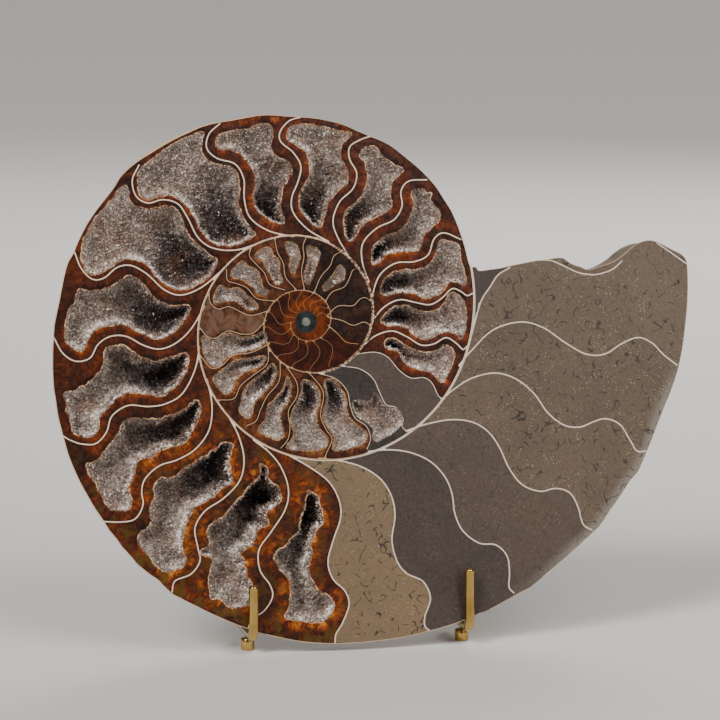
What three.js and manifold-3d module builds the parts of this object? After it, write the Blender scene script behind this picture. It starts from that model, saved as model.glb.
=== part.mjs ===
// Polished half of a cut ammonite, leaning on a small wire easel of brass rod.
// Millimetres, +Z up, the cut face looks towards -Y, the origin is under the middle of the model's box.
import * as THREE from 'three';
import { mergeVertices } from 'three/addons/utils/BufferGeometryUtils.js';
import Module from 'manifold-3d';

const wasm = await Module();
wasm.setup();

// Driving sizes of the fossil
const FACE_WIDTH = 170;
const FACE_LEAN = THREE.MathUtils.degToRad(10);
const THICKNESS_TO_RADIUS = 0.215;
const SHELL_AND_LINING = 3.0;
const SHALLOWEST = 1.6;
const CRUST_THICKNESS = 0.9;
const CRYSTAL_SIZE = 0.9;
const GAP = 0.35;

// A whorl's section: where it is widest across, how far in it starts on the whorl inside it, and its facets
const WIDEST = 0.32;
const SEAM = 0.6;
const SECTION_STEPS = 6;

// Running angles in degrees: where the last whorl leaves the wall, where it has made a whole turn, where it ends
const NOTCH_TURN = 1099.6;
const LAST_TURN = 1440;
const BREAK_TURN = 1459.5;

// Driving sizes of the easel
const ROD_DIAMETER = 2.7;
const ROD_CLEARANCE = 3.5;
const HOOK_LEFT_HEIGHT = 13.8;
const HOOK_RIGHT_HEIGHT = 16.2;
const BEND_RADIUS = 3.0;
const REST_LEAN = THREE.MathUtils.degToRad(17);
const REST_TOP = 80;
const REST_TOP_SPACING = 34;
const LEG_SPREAD = 36;
const FOOT_DIAMETER = 3.6;
const FOOT_SETBACK = 9;
const ROD_SIDES = 8;
const HOOK_STEPS = 17;

// How the photograph sees the face: the eye is to the left of it and a little above
const PHOTO_MIDDLE = 360;
const FACE_PIXELS = 636.3;
const VIEW_YAW = THREE.MathUtils.degToRad(12);
const VIEW_RISE = THREE.MathUtils.degToRad(8);
const VIEW_DISTANCE = 1000;
const PIXEL = FACE_WIDTH * Math.cos(VIEW_YAW) / FACE_PIXELS;

// Pixels of the photograph, 720 by 720
const SPIRAL_CENTRE = [306, 322];
const HOOK_LEFT_PIXEL = [252.5, 630];
const HOOK_RIGHT_PIXEL = [468, 621];

// Distance in pixels from the spiral's centre to the outer wall, one for each eighth of a turn from 180 degrees
const WALL_START = 180;
const WALL_STEP = 45;
const WALL_RADII = [
  15, 17, 18.7, 21, 24.5, 28, 31.3, 36, 41.5, 45.5, 50, 57, 66, 75, 85.5, 95,
  106.7, 120, 136.5, 152, 167, 185, 205.3, 228, 251.8, 285, 320.7, 352, 379,
];

// The rim of the cut face in pixels, from the notch round to the broken end
const RIM = [
  [470, 264], [462, 237], [449, 205], [429, 178], [407, 158], [380, 140], [350, 127], [321, 119],
  [284, 114.5], [268, 113.8], [250, 116.5], [210, 123.5], [180, 134.5], [140, 159], [116, 185], [90, 219],
  [73, 254], [61, 292], [54, 337], [51.2, 358], [52, 370], [57, 410], [66, 451], [82, 488], [109, 531],
  [140, 567], [178, 595.5], [223, 619], [270, 635.5], [320, 643], [360, 642.5], [400, 637.5],
  [450, 625], [500, 603], [552, 569], [597, 528], [638, 472], [663, 412], [680, 360], [687, 310], [688, 263],
];

// The broken end of the last whorl in pixels, from the notch to the tip
const BREAK = [
  [470, 265.5], [478, 270], [490, 270], [510, 266], [540, 260], [563, 258], [580, 267.5], [597, 267.5],
  [618, 260], [632, 248], [648, 240], [670, 247.5], [688, 263],
];
// Points well outside the stone that close the cut round its broken end
const BREAK_OUTSIDE = [[690, 290], [760, 290], [760, 130], [520, 225], [471, 262]];

// Edges of the open chambers in pixels, from the newest chamber inwards; each starts at one of its two tips
const CHAMBERS = [
  [[309, 491], [318, 496], [324, 519], [313, 539], [308, 566], [318, 590], [333, 608], [317, 622], [287, 618],
    [291, 603], [288, 578], [274, 559], [277, 552], [298, 532]],
  [[260, 464], [268, 478], [281, 500], [266, 511], [258, 529], [241, 555], [252, 584], [246, 606], [217, 598],
    [210, 589], [212, 559], [203, 550], [206, 534], [225, 517], [244, 496]],
  [[232, 444], [230, 483], [197, 506], [181, 540], [185, 563], [165, 571], [138, 542], [151, 524], [154, 486],
    [174, 477]],
  [[113, 511], [86, 466], [106, 452], [123, 422], [148, 420], [176, 414], [196, 401], [200, 409], [178, 446],
    [141, 460], [128, 487], [131, 500]],
  [[186, 353], [189, 361], [174, 387], [132, 392], [99, 417], [92, 435], [74, 433], [64, 393], [89, 383],
    [104, 350], [123, 346], [147, 360]],
  [[190, 308], [174, 332], [150, 337], [122, 324], [95, 330], [85, 348], [66, 342], [68, 316], [81, 289],
    [102, 291], [129, 276], [138, 280], [156, 299]],
  [[216, 260], [207, 278], [180, 290], [146, 264], [120, 260], [98, 274], [82, 261], [82, 246], [97, 216],
    [124, 186], [129, 200], [149, 209], [168, 206], [187, 234]],
  [[139, 171], [163, 150], [203, 132], [201, 152], [232, 168], [238, 203], [256, 234], [232, 246], [208, 240],
    [183, 202], [172, 195], [147, 198]],
  [[284, 222], [277, 223], [256, 208], [253, 170], [231, 149], [216, 142], [222, 134], [258, 125], [269, 125],
    [275, 156], [291, 169], [280, 206]],
  [[293, 126], [307, 125], [351, 134], [340, 156], [348, 181], [328, 203], [319, 227], [299, 201], [310, 177],
    [304, 150], [286, 136]],
  [[370, 146], [377, 149], [404, 170], [391, 185], [390, 208], [352, 241], [344, 223], [346, 210], [366, 189],
    [366, 164], [360, 156]],
  [[432, 193], [439, 217], [424, 234], [416, 250], [389, 254], [374, 264], [372, 250], [384, 237], [408, 221],
    [414, 207], [412, 190], [422, 189]],
  [[462, 264], [464, 282], [448, 284], [427, 298], [399, 293], [384, 296], [382, 287], [402, 270], [417, 270],
    [436, 253], [440, 241], [457, 245]],
  [[466, 312], [461, 339], [425, 339], [404, 327], [382, 322], [396, 307], [421, 312], [434, 312], [448, 296],
    [454, 293]],
  [[453, 357], [443, 381], [412, 369], [398, 351], [385, 348], [388, 339], [399, 340], [410, 348], [434, 352],
    [444, 347]],
  [[352, 401], [369, 400], [374, 392], [386, 406], [402, 416], [402, 424], [377, 442], [372, 428]],
  [[325, 380], [334, 380], [346, 401], [355, 424], [366, 432], [357, 446], [334, 450], [334, 438], [323, 415]],
  [[302, 381], [312, 383], [319, 405], [328, 441], [318, 450], [287, 448], [294, 429], [290, 419]],
  [[288, 376], [291, 387], [281, 423], [278, 440], [258, 430], [267, 408]],
  [[272, 364], [276, 370], [254, 404], [247, 418], [240, 412], [246, 388]],
  [[266, 357], [246, 371], [232, 390], [226, 394], [214, 378], [236, 361]],
  [[264, 332], [267, 341], [226, 358], [208, 364], [202, 336], [212, 341], [242, 337]],
  [[256, 309], [237, 301], [216, 304], [214, 298], [221, 286], [238, 288]],
  [[269, 292], [260, 295], [240, 279], [232, 271], [242, 262], [257, 270]],
  [[261, 250], [270, 248], [279, 260], [282, 281], [276, 284]],
  [[290, 242], [300, 258], [293, 274], [285, 244]],
  [[307, 247], [316, 248], [308, 284], [304, 277]],
  [[340, 266], [344, 271], [326, 290], [324, 286]],
];
const OUTER_CHAMBERS = 15;

const amber = new THREE.MeshStandardMaterial({ color: '#7a4318', roughness: 0.25, metalness: 0 });
const druzy = new THREE.MeshStandardMaterial({ color: '#94898a', roughness: 0.6, metalness: 0 });
const brass = new THREE.MeshStandardMaterial({ color: '#b08d45', roughness: 0.25, metalness: 1 });

const viewRight = new THREE.Vector3(Math.cos(VIEW_YAW), -Math.sin(VIEW_YAW), 0);
const viewForward = new THREE.Vector3(
  Math.sin(VIEW_YAW) * Math.cos(VIEW_RISE),
  Math.cos(VIEW_YAW) * Math.cos(VIEW_RISE),
  -Math.sin(VIEW_RISE),
);
const viewUp = new THREE.Vector3().crossVectors(viewRight, viewForward);
const faceUp = new THREE.Vector3(0, Math.sin(FACE_LEAN), Math.cos(FACE_LEAN));
const faceNormal = new THREE.Vector3(0, -Math.cos(FACE_LEAN), Math.sin(FACE_LEAN));

// The point of the cut face that a pixel sees, across and up the face from where the photograph's middle falls
function onFace(px, py) {
  const axis = viewForward.clone().multiplyScalar(VIEW_DISTANCE);
  const ray = axis.clone();
  ray.addScaledVector(viewRight, (px - PHOTO_MIDDLE) * PIXEL);
  ray.addScaledVector(viewUp, (PHOTO_MIDDLE - py) * PIXEL);
  const hit = ray.multiplyScalar(faceNormal.dot(axis) / faceNormal.dot(ray)).sub(axis);
  return new THREE.Vector2(hit.x, hit.dot(faceUp));
}

// A repeatable number from 0 to 1 for each pair of whole numbers
function scatter(a, b) {
  const wave = Math.sin(a * 127.1 + b * 311.7) * 43758.5453;
  return wave - Math.floor(wave);
}

// Radius in pixels of the spiral wall at a running angle in degrees, growing evenly between the read radii
function wallRadius(angle) {
  const place = (angle - WALL_START) / WALL_STEP;
  const last = WALL_RADII.length - 1;
  const index = THREE.MathUtils.clamp(Math.floor(place), 0, last - 1);
  const growth = Math.log(WALL_RADII[index + 1] / WALL_RADII[index]);
  return WALL_RADII[index] * Math.exp(growth * (place - index));
}

// Where a ray from the spiral's centre leaves the rim, in pixels; past the broken end the rim runs straight up
function rimRadius(angle) {
  const turn = THREE.MathUtils.degToRad(angle);
  const dx = Math.cos(turn);
  const dy = -Math.sin(turn);
  const side = RIM[RIM.length - 1][0] - SPIRAL_CENTRE[0];
  let reach = angle > LAST_TURN - 10 ? side / dx : 0;
  for (let i = 0; i + 1 < RIM.length; i += 1) {
    const ax = RIM[i][0] - SPIRAL_CENTRE[0];
    const ay = RIM[i][1] - SPIRAL_CENTRE[1];
    const bx = RIM[i + 1][0] - SPIRAL_CENTRE[0];
    const by = RIM[i + 1][1] - SPIRAL_CENTRE[1];
    const across = dx * (by - ay) - dy * (bx - ax);
    const t = (ay * dx - ax * dy) / -across;
    const r = (ax * (by - ay) - ay * (bx - ax)) / across;
    if (t >= 0 && t <= 1 && r > 0) reach = Math.max(reach, r);
  }
  return reach;
}

// One whorl's section at a running angle: inner seam, outer wall and half thickness
function whorl(angle) {
  const outer = angle > NOTCH_TURN ? rimRadius(angle) : wallRadius(angle);
  const inner = SEAM * wallRadius(angle - 360);
  return { inner, outer, half: THICKNESS_TO_RADIUS * wallRadius(angle) * PIXEL };
}

// Half thickness of one whorl at a distance from the spiral's centre, nought where the whorl doesn't reach
function whorlHeight(angle, radius) {
  const { inner, outer, half } = whorl(angle);
  const u = (radius - inner) / (outer - inner);
  const side = u < WIDEST ? (WIDEST - u) / WIDEST : (u - WIDEST) / (1 - WIDEST);
  return u > 0 && side < 1 ? half * Math.sqrt(1 - side * side) : 0;
}

// The whorls that lie along a pixel's direction from the spiral's centre, inwards to outwards
function whorlsBehind(px, py) {
  const dx = px - SPIRAL_CENTRE[0];
  const dy = SPIRAL_CENTRE[1] - py;
  const turn = (THREE.MathUtils.radToDeg(Math.atan2(dy, dx)) + 360) % 360;
  const angles = [];
  for (let angle = turn + 360; angle <= BREAK_TURN; angle += 360) angles.push(angle);
  return { radius: Math.hypot(dx, dy), angles };
}

// Thickness of the stone behind a pixel: the highest of the whorls that cover it
function thickness(px, py) {
  const { radius, angles } = whorlsBehind(px, py);
  return Math.max(0, ...angles.map((angle) => whorlHeight(angle, radius)));
}

// Half width of the chamber that a pixel lies in, from the cut to the inside of its shell
function chamberDepth(px, py) {
  const { radius, angles } = whorlsBehind(px, py);
  const own = angles.find((angle) => whorl(angle).outer > radius) ?? angles[angles.length - 1];
  return Math.max(whorlHeight(own, radius) - SHELL_AND_LINING, SHALLOWEST);
}

// Volume inside a closed mesh, below zero when its faces point inwards
function signedVolume(place, order) {
  const [a, b, c] = [new THREE.Vector3(), new THREE.Vector3(), new THREE.Vector3()];
  let volume = 0;
  for (let i = 0; i < order.length; i += 3) {
    a.fromBufferAttribute(place, order[i]);
    b.fromBufferAttribute(place, order[i + 1]);
    c.fromBufferAttribute(place, order[i + 2]);
    volume += a.dot(b.cross(c)) / 6;
  }
  return volume;
}

// A closed solid from points and triangles, turned so that its faces point outwards
function toSolid(positions, triangles) {
  const geometry = new THREE.BufferGeometry();
  geometry.setAttribute('position', new THREE.Float32BufferAttribute(positions, 3));
  geometry.setIndex(triangles);
  const merged = mergeVertices(geometry, 1e-5);
  const place = merged.attributes.position;
  const order = Array.from(merged.index.array);
  if (signedVolume(place, order) < 0) order.reverse();
  const mesh = new wasm.Mesh({
    numProp: 3,
    vertProperties: new Float32Array(place.array),
    triVerts: new Uint32Array(order),
  });
  return new wasm.Manifold(mesh);
}

function toGeometry(solid) {
  const mesh = solid.getMesh();
  const geometry = new THREE.BufferGeometry();
  geometry.setAttribute('position', new THREE.BufferAttribute(mesh.vertProperties, 3));
  geometry.setIndex(new THREE.BufferAttribute(mesh.triVerts, 1));
  geometry.computeVertexNormals();
  return geometry;
}

// Joins rings of equal length with quads; the two ends are closed by the triangle lists given
function joinRings(rings, firstCap, lastCap) {
  const size = rings[0].length;
  const positions = rings.flat().flatMap((p) => [p.x, p.y, p.z]);
  const triangles = [];
  for (let k = 0; k + 1 < rings.length; k += 1) {
    for (let i = 0; i < size; i += 1) {
      const a = k * size + i;
      const b = k * size + ((i + 1) % size);
      triangles.push(a, b, a + size, b, b + size, a + size);
    }
  }
  const lastStart = (rings.length - 1) * size;
  firstCap.forEach(([a, b, c]) => triangles.push(a, c, b));
  lastCap.forEach(([a, b, c]) => triangles.push(lastStart + a, lastStart + b, lastStart + c));
  return toSolid(positions, triangles);
}

// A stretch of whorl: a D-shaped section, flat on the cut face, carried along the spiral
function whorlStretch(fromAngle, toAngle, step) {
  const rings = [];
  const count = Math.round((toAngle - fromAngle) / step);
  for (let k = 0; k <= count; k += 1) {
    const angle = fromAngle + (toAngle - fromAngle) * k / count;
    const turn = THREE.MathUtils.degToRad(angle);
    const { inner, outer, half } = whorl(angle);
    const ring = [];
    for (let j = 0; j <= SECTION_STEPS; j += 1) {
      const arc = Math.PI * j / SECTION_STEPS;
      const span = arc < Math.PI / 2 ? WIDEST : 1 - WIDEST;
      const radius = inner + (outer - inner) * (WIDEST - span * Math.cos(arc));
      const p = onFace(SPIRAL_CENTRE[0] + radius * Math.cos(turn), SPIRAL_CENTRE[1] - radius * Math.sin(turn));
      const depth = j === 0 || j === SECTION_STEPS ? 0 : -half * Math.sin(arc);
      ring.push(new THREE.Vector3(p.x, p.y, depth));
    }
    rings.push(ring);
  }
  const fan = [];
  for (let j = 1; j < SECTION_STEPS; j += 1) fan.push([0, j, j + 1]);
  return joinRings(rings, fan, fan);
}

// A straight-sided block through the stone with the outline of the given pixels
function blockThrough(pixels, back, front) {
  const points = pixels.map(([x, y]) => onFace(x, y));
  if (THREE.ShapeUtils.isClockWise(points)) points.reverse();
  const cap = THREE.ShapeUtils.triangulateShape(points, []);
  const rings = [back, front].map((z) => points.map((p) => new THREE.Vector3(p.x, p.y, z)));
  return joinRings(rings, cap, cap);
}

// Even points along an open line of pixels, both ends included
function evenly(points, count) {
  const path = new THREE.CurvePath();
  for (let i = 0; i + 1 < points.length; i += 1) {
    path.add(new THREE.LineCurve(points[i], points[i + 1]));
  }
  return path.getSpacedPoints(count);
}

// A chamber's two long sides from its first point to the farthest one, with as many points on each
function chamberSides(pixels, count) {
  const points = pixels.map(([x, y]) => new THREE.Vector2(x, y));
  const [tip] = points;
  const away = points.map((p) => p.distanceTo(tip));
  const far = away.indexOf(Math.max(...away));
  const one = points.slice(0, far + 1);
  const other = [...points.slice(far), tip].reverse();
  return [evenly(one, count), evenly(other, count)];
}

// A closed line of pixels drawn in by a distance square to its edges, with its corners mitred
function inwards(line, distance) {
  const side = Math.sign(THREE.ShapeUtils.area(line));
  const normals = line.map((p, i) => {
    const along = line[(i + 1) % line.length].clone().sub(p).normalize();
    return new THREE.Vector2(-side * along.y, side * along.x);
  });
  return line.map((p, i) => {
    const before = normals[(i + line.length - 1) % line.length];
    const mitre = before.clone().add(normals[i]).normalize();
    return p.clone().addScaledVector(mitre, distance / Math.max(0.4, mitre.dot(normals[i])));
  });
}

// The space of a chamber: rings that shrink towards its middle line and sink into the stone.
// inset and lift draw the walls in and the floor up; rough throws the deeper rings about by crystals' size
function chamberSpace(pixels, count, options) {
  const { inset, lift, rough, rings: shape } = options;
  const [one, other] = chamberSides(pixels, count);
  const middle = one.map((p, i) => p.clone().add(other[i]).multiplyScalar(0.5));
  const edge = 0.12 * count;
  const targets = one.map((p, i) => {
    const place = THREE.MathUtils.clamp(i, edge, count - edge);
    const low = Math.floor(place);
    return middle[low].clone().lerp(middle[Math.min(low + 1, count)], place - low);
  });
  const order = [];
  for (let i = 0; i <= count; i += 1) order.push([one[i], targets[i]]);
  for (let i = count - 1; i > 0; i -= 1) order.push([other[i], targets[i]]);
  const drawnIn = inwards(order.map(([edgePoint]) => edgePoint), inset / PIXEL);
  const seed = pixels[0][0] + pixels[0][1];
  const rings = shape.map(({ shrink, fall, level }, k) => order.map(([edgePoint, target], i) => {
    const start = drawnIn[i].distanceTo(edgePoint) > 0.8 * edgePoint.distanceTo(target)
      ? edgePoint.clone().lerp(target, 0.8) : drawnIn[i];
    const p = start.clone().lerp(target, shrink);
    const face = onFace(p.x, p.y);
    const floor = chamberDepth(p.x, p.y);
    const jolt = fall > 0 ? rough * (scatter(seed + i, k) - 0.5) : 0;
    const z = fall > 0 ? Math.min(level, lift - floor * fall + jolt) : level;
    const sway = fall > 0 ? 0.6 * rough * (scatter(k, seed + i) - 0.5) : 0;
    return new THREE.Vector3(face.x + sway, face.y - sway, z);
  }));
  const ladder = [[0, 1, 2 * count - 1]];
  for (let i = 1; i < count - 1; i += 1) {
    ladder.push([i, i + 1, 2 * count - i], [i + 1, 2 * count - i - 1, 2 * count - i]);
  }
  ladder.push([count - 1, count, count + 1]);
  return joinRings(rings.reverse(), ladder, ladder);
}

const PIT_RINGS = [
  { shrink: 0, fall: 0, level: 1 },
  { shrink: 0, fall: 0, level: -0.3 },
  { shrink: 0.22, fall: 0.6, level: -0.5 },
  { shrink: 0.62, fall: 0.95, level: -0.6 },
];
const CRUST_RINGS = [{ shrink: 0, fall: 0, level: -0.05 }, ...PIT_RINGS.slice(2)];
const VOID_RINGS = [
  { shrink: 0, fall: 0, level: 1 },
  { shrink: 0, fall: 0, level: -0.4 },
  { shrink: 0.24, fall: 0.66, level: -0.7 },
  { shrink: 0.72, fall: 0.95, level: -0.8 },
];

function sidePoints(index) {
  return index < OUTER_CHAMBERS ? 7 : 4;
}

function pit(pixels, index) {
  return chamberSpace(pixels, sidePoints(index), { inset: 0, lift: 0, rough: 0, rings: PIT_RINGS });
}

// The crust of crystals that lines a chamber, an open bowl with a faceted inside
function crust(pixels, index) {
  const count = sidePoints(index);
  const large = index < OUTER_CHAMBERS;
  const wall = large ? CRUST_THICKNESS : 0.7 * CRUST_THICKNESS;
  const rings = large ? VOID_RINGS : VOID_RINGS.slice(0, 3);
  const skin = chamberSpace(pixels, count, { inset: GAP, lift: GAP, rough: 0, rings: CRUST_RINGS });
  const hollow = chamberSpace(pixels, count, {
    inset: GAP + wall, lift: GAP + 1.3 * wall, rough: large ? CRYSTAL_SIZE : 0.5 * CRYSTAL_SIZE, rings,
  });
  return skin.subtract(hollow);
}

// Outline in pixels of the first small chamber at the very centre of the spiral
function centreDisc() {
  const corners = 10;
  return Array.from({ length: corners }, (_, i) => {
    const turn = 2 * Math.PI * i / corners;
    const radius = 0.9 * WALL_RADII[0];
    return [SPIRAL_CENTRE[0] + radius * Math.cos(turn), SPIRAL_CENTRE[1] + radius * Math.sin(turn)];
  });
}

// The whole half fossil, with its broken end and its open chambers
function fossil() {
  const stretches = [
    blockThrough(centreDisc(), -THICKNESS_TO_RADIUS * WALL_RADII[0] * PIXEL, 0),
    whorlStretch(WALL_START, 500, 24),
    whorlStretch(480, 820, 20),
    whorlStretch(800, 1140, 15),
    whorlStretch(1125, BREAK_TURN, 7),
  ];
  const body = wasm.Manifold.union(stretches);
  const broken = blockThrough([...BREAK, ...BREAK_OUTSIDE], -2 * FACE_WIDTH, FACE_WIDTH);
  return body.subtract(broken).subtract(wasm.Manifold.union(CHAMBERS.map(pit)));
}

// A round rod along a path
function rod(path, steps) {
  const section = new THREE.Shape();
  for (let i = 0; i <= ROD_SIDES; i += 1) {
    const turn = 2 * Math.PI * (i + 0.5) / ROD_SIDES;
    const x = ROD_DIAMETER / 2 * Math.cos(turn);
    const y = ROD_DIAMETER / 2 * Math.sin(turn);
    if (i === 0) section.moveTo(x, y);
    else section.lineTo(x, y);
  }
  return new THREE.ExtrudeGeometry(section, { steps, extrudePath: path });
}

function bar(from, to) {
  return rod(new THREE.LineCurve3(from, to), 1);
}

// A hook: up the front of the face, round the bend and back under the stone
function hook(x, front, back, level, height) {
  const top = new THREE.Vector3(x, front, level + height);
  const bendStart = new THREE.Vector3(x, front, level + BEND_RADIUS);
  const corner = new THREE.Vector3(x, front, level);
  const bendEnd = new THREE.Vector3(x, front + BEND_RADIUS, level);
  const end = new THREE.Vector3(x, back, level);
  const path = new THREE.CurvePath();
  path.add(new THREE.LineCurve3(top, bendStart));
  path.add(new THREE.QuadraticBezierCurve3(bendStart, corner, bendEnd));
  path.add(new THREE.LineCurve3(bendEnd, end));
  return rod(path, HOOK_STEPS);
}

function named(name, geometry, material) {
  const mesh = new THREE.Mesh(geometry, material);
  mesh.name = name;
  return mesh;
}

const hookLeft = onFace(...HOOK_LEFT_PIXEL);
const hookRight = onFace(...HOOK_RIGHT_PIXEL);
const ROD_RADIUS = ROD_DIAMETER / 2;
const RUN_TOP = ROD_CLEARANCE + ROD_DIAMETER;
const REST_GAP = 0.45;

// The stone stands so that its rim clears both hooks by the same small gap
const faceHeight = RUN_TOP + REST_GAP - 0.5 * (hookLeft.y + hookRight.y) * Math.cos(FACE_LEAN);
const stone = new THREE.Group();
stone.position.set(0, 0, faceHeight);
stone.rotation.x = Math.PI / 2 - FACE_LEAN;
stone.add(named('ammonite_half', toGeometry(fossil()), amber));
CHAMBERS.forEach((pixels, index) => {
  const name = `crystal_crust_${String(index + 1).padStart(2, '0')}`;
  stone.add(named(name, toGeometry(crust(pixels, index)), druzy));
});

// How far behind the foot of the face a leaning rest at x must start to clear the back of the stone
function restStart(x) {
  let start = 0;
  for (let py = 120; py < 640; py += 4) {
    for (let px = 100; px < 600; px += 4) {
      const p = onFace(px, py);
      const depth = thickness(px, py);
      const z = faceHeight + p.y * Math.cos(FACE_LEAN) - depth * Math.sin(FACE_LEAN);
      const y = p.y * Math.sin(FACE_LEAN) + depth * Math.cos(FACE_LEAN);
      const near = Math.abs(p.x - x) < ROD_DIAMETER && z < REST_TOP + ROD_DIAMETER;
      if (near) start = Math.max(start, y - (z - RUN_TOP) * Math.tan(REST_LEAN));
    }
  }
  return start + ROD_RADIUS / Math.cos(REST_LEAN) + 1.5 * GAP;
}

const easel = new THREE.Group();
const hooks = [['left', hookLeft, HOOK_LEFT_HEIGHT], ['right', hookRight, HOOK_RIGHT_HEIGHT]];
const sides = hooks.map(([side, foot, height]) => {
  const level = faceHeight + foot.y * Math.cos(FACE_LEAN) - REST_GAP - ROD_RADIUS;
  const front = foot.y * Math.sin(FACE_LEAN) - ROD_RADIUS - REST_GAP;
  return { side, x: foot.x, level, front, height };
});
const start = Math.max(...sides.map(({ x }) => restStart(x)));
const restRise = REST_TOP - RUN_TOP;
const restTopY = start + restRise * Math.tan(REST_LEAN);
const middleX = 0.5 * (hookLeft.x + hookRight.x);

sides.forEach(({ side, x, level, front, height }, index) => {
  const sign = index === 0 ? -1 : 1;
  const back = start + 2 * ROD_DIAMETER;
  easel.add(named(`hook_${side}`, hook(x, front, back, level, height), brass));
  const restTop = new THREE.Vector3(middleX + sign * REST_TOP_SPACING / 2, restTopY, REST_TOP);
  const restFoot = new THREE.Vector3(x, start, level + ROD_RADIUS + GAP);
  easel.add(named(`back_rest_${side}`, bar(restFoot, restTop), brass));
  const footHeight = level - ROD_RADIUS - GAP;
  const foot = new THREE.CylinderGeometry(FOOT_DIAMETER / 2, FOOT_DIAMETER / 2, footHeight, 12);
  foot.rotateX(Math.PI / 2);
  foot.translate(x, front + FOOT_SETBACK, footHeight / 2);
  easel.add(named(`foot_${side}`, foot, brass));
});

// The bar across the top of the two rests, and the leg that props it from behind
const barHeight = REST_TOP + ROD_RADIUS + 2 * GAP;
const barY = restTopY + ROD_RADIUS * Math.sin(REST_LEAN);
const barHalf = REST_TOP_SPACING / 2 + 2 * ROD_DIAMETER;
const barFrom = new THREE.Vector3(middleX - barHalf, barY, barHeight);
const barTo = new THREE.Vector3(middleX + barHalf, barY, barHeight);
easel.add(named('top_bar', bar(barFrom, barTo), brass));

const REAR_FOOT_HEIGHT = 3;
const legTop = new THREE.Vector3(middleX, barY + ROD_DIAMETER + GAP, barHeight);
const legFoot = new THREE.Vector3(middleX, legTop.y + LEG_SPREAD, REAR_FOOT_HEIGHT + GAP + 0.6);
easel.add(named('rear_leg', bar(legTop, legFoot), brass));
const rearFoot = new THREE.CylinderGeometry(FOOT_DIAMETER / 2, FOOT_DIAMETER / 2, REAR_FOOT_HEIGHT, 12);
rearFoot.rotateX(Math.PI / 2);
rearFoot.translate(legFoot.x, legFoot.y, REAR_FOOT_HEIGHT / 2);
easel.add(named('foot_rear', rearFoot, brass));

const part = new THREE.Group();
part.add(stone, easel);
part.updateMatrixWorld(true);
const bounds = new THREE.Box3().setFromObject(part, true);
const middle = bounds.getCenter(new THREE.Vector3());
part.position.set(-middle.x, -middle.y, -bounds.min.z);

export default part;
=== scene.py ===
"""Half of a cut and polished ammonite on a small easel of brass wire.

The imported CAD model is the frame. The stone, the crystal crusts in its open chambers and the brass rods are
surfaces worked out with numpy and stand for the CAD nodes. Lengths are millimetres until a mesh is made.
"""
import logging
import math
from dataclasses import dataclass, field
from enum import IntEnum

import bpy
import numpy as np
from mathutils import Matrix, Vector
from mathutils.geometry import delaunay_2d_cdt


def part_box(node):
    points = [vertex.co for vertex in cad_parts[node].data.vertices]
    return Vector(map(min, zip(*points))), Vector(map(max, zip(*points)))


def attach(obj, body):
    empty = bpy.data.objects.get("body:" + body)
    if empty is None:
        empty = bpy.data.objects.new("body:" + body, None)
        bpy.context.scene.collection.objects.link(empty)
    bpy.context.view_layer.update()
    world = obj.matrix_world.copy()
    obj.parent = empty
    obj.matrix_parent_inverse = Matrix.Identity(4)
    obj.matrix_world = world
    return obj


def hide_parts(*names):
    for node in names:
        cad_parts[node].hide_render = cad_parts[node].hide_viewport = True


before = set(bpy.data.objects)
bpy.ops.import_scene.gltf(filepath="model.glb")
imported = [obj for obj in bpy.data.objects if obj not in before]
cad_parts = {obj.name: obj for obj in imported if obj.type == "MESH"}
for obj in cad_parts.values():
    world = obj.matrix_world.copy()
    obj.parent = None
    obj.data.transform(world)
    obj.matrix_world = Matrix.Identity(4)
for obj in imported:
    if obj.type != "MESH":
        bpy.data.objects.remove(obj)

log = logging.getLogger("ammonite")
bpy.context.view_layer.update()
MM = 0.001
SEED = 7

# How the photograph sees the cut face: the eye stands to its left and a little above it
PHOTO_MIDDLE = 360.0
VIEW_YAW = math.radians(12)
VIEW_RISE = math.radians(8)
VIEW_DISTANCE = 1000.0
FACE_WIDTH = 170.0
FACE_PIXELS = 636.3
PIXEL = FACE_WIDTH * math.cos(VIEW_YAW) / FACE_PIXELS
SENSOR = 36.0

# The cut face leans back; this point of it, in the frame, is seen in the middle of the photograph
FACE_LEAN = math.radians(10)
FACE_POINT = np.array([-4.6617, -26.7847, 74.8041])

# The spiral: distance in pixels from its centre to the outer wall, one for each eighth of a turn
SPIRAL_CENTRE = (306.0, 322.0)
WALL_START = 180.0
WALL_STEP = 45.0
WALL_RADII = (
    15, 17, 18.7, 21, 24.5, 28, 31.3, 36, 41.5, 45.5, 50, 57, 66, 75, 85.5, 95,
    106.7, 120, 136.5, 152, 167, 185, 205.3, 228, 251.8, 285, 320.7, 352, 379,
)
# Beside angles, the radii's logarithms are drawn this many times larger
LOG_SCALE = 40.0
# Running angles where the last whorl leaves the wall and where the dark core ends
NOTCH_TURN = 1099.6
CORE_TURN = 700.0
# A whorl's section: half its thickness to its radius, where it is widest across, and how far in it starts
THICKNESS_TO_RADIUS = 0.215
WIDEST = 0.32
SEAM = 0.6
# Open chambers of the last whorl
OUTER_MOUTHS = 15

# The chamber walls of the innermost whorls: running angles of the first and past the last, and their step,
# how far they bend and lean in degrees, and the radius in pixels of the disc that they start outside of
SPOKE_FIRST = 385.0
SPOKE_END = 685.0
SPOKE_STEP = 22.0
SPOKE_BEND = 9.0
SPOKE_LEAN = 6.0
CORE_DISC = 12.0

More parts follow.
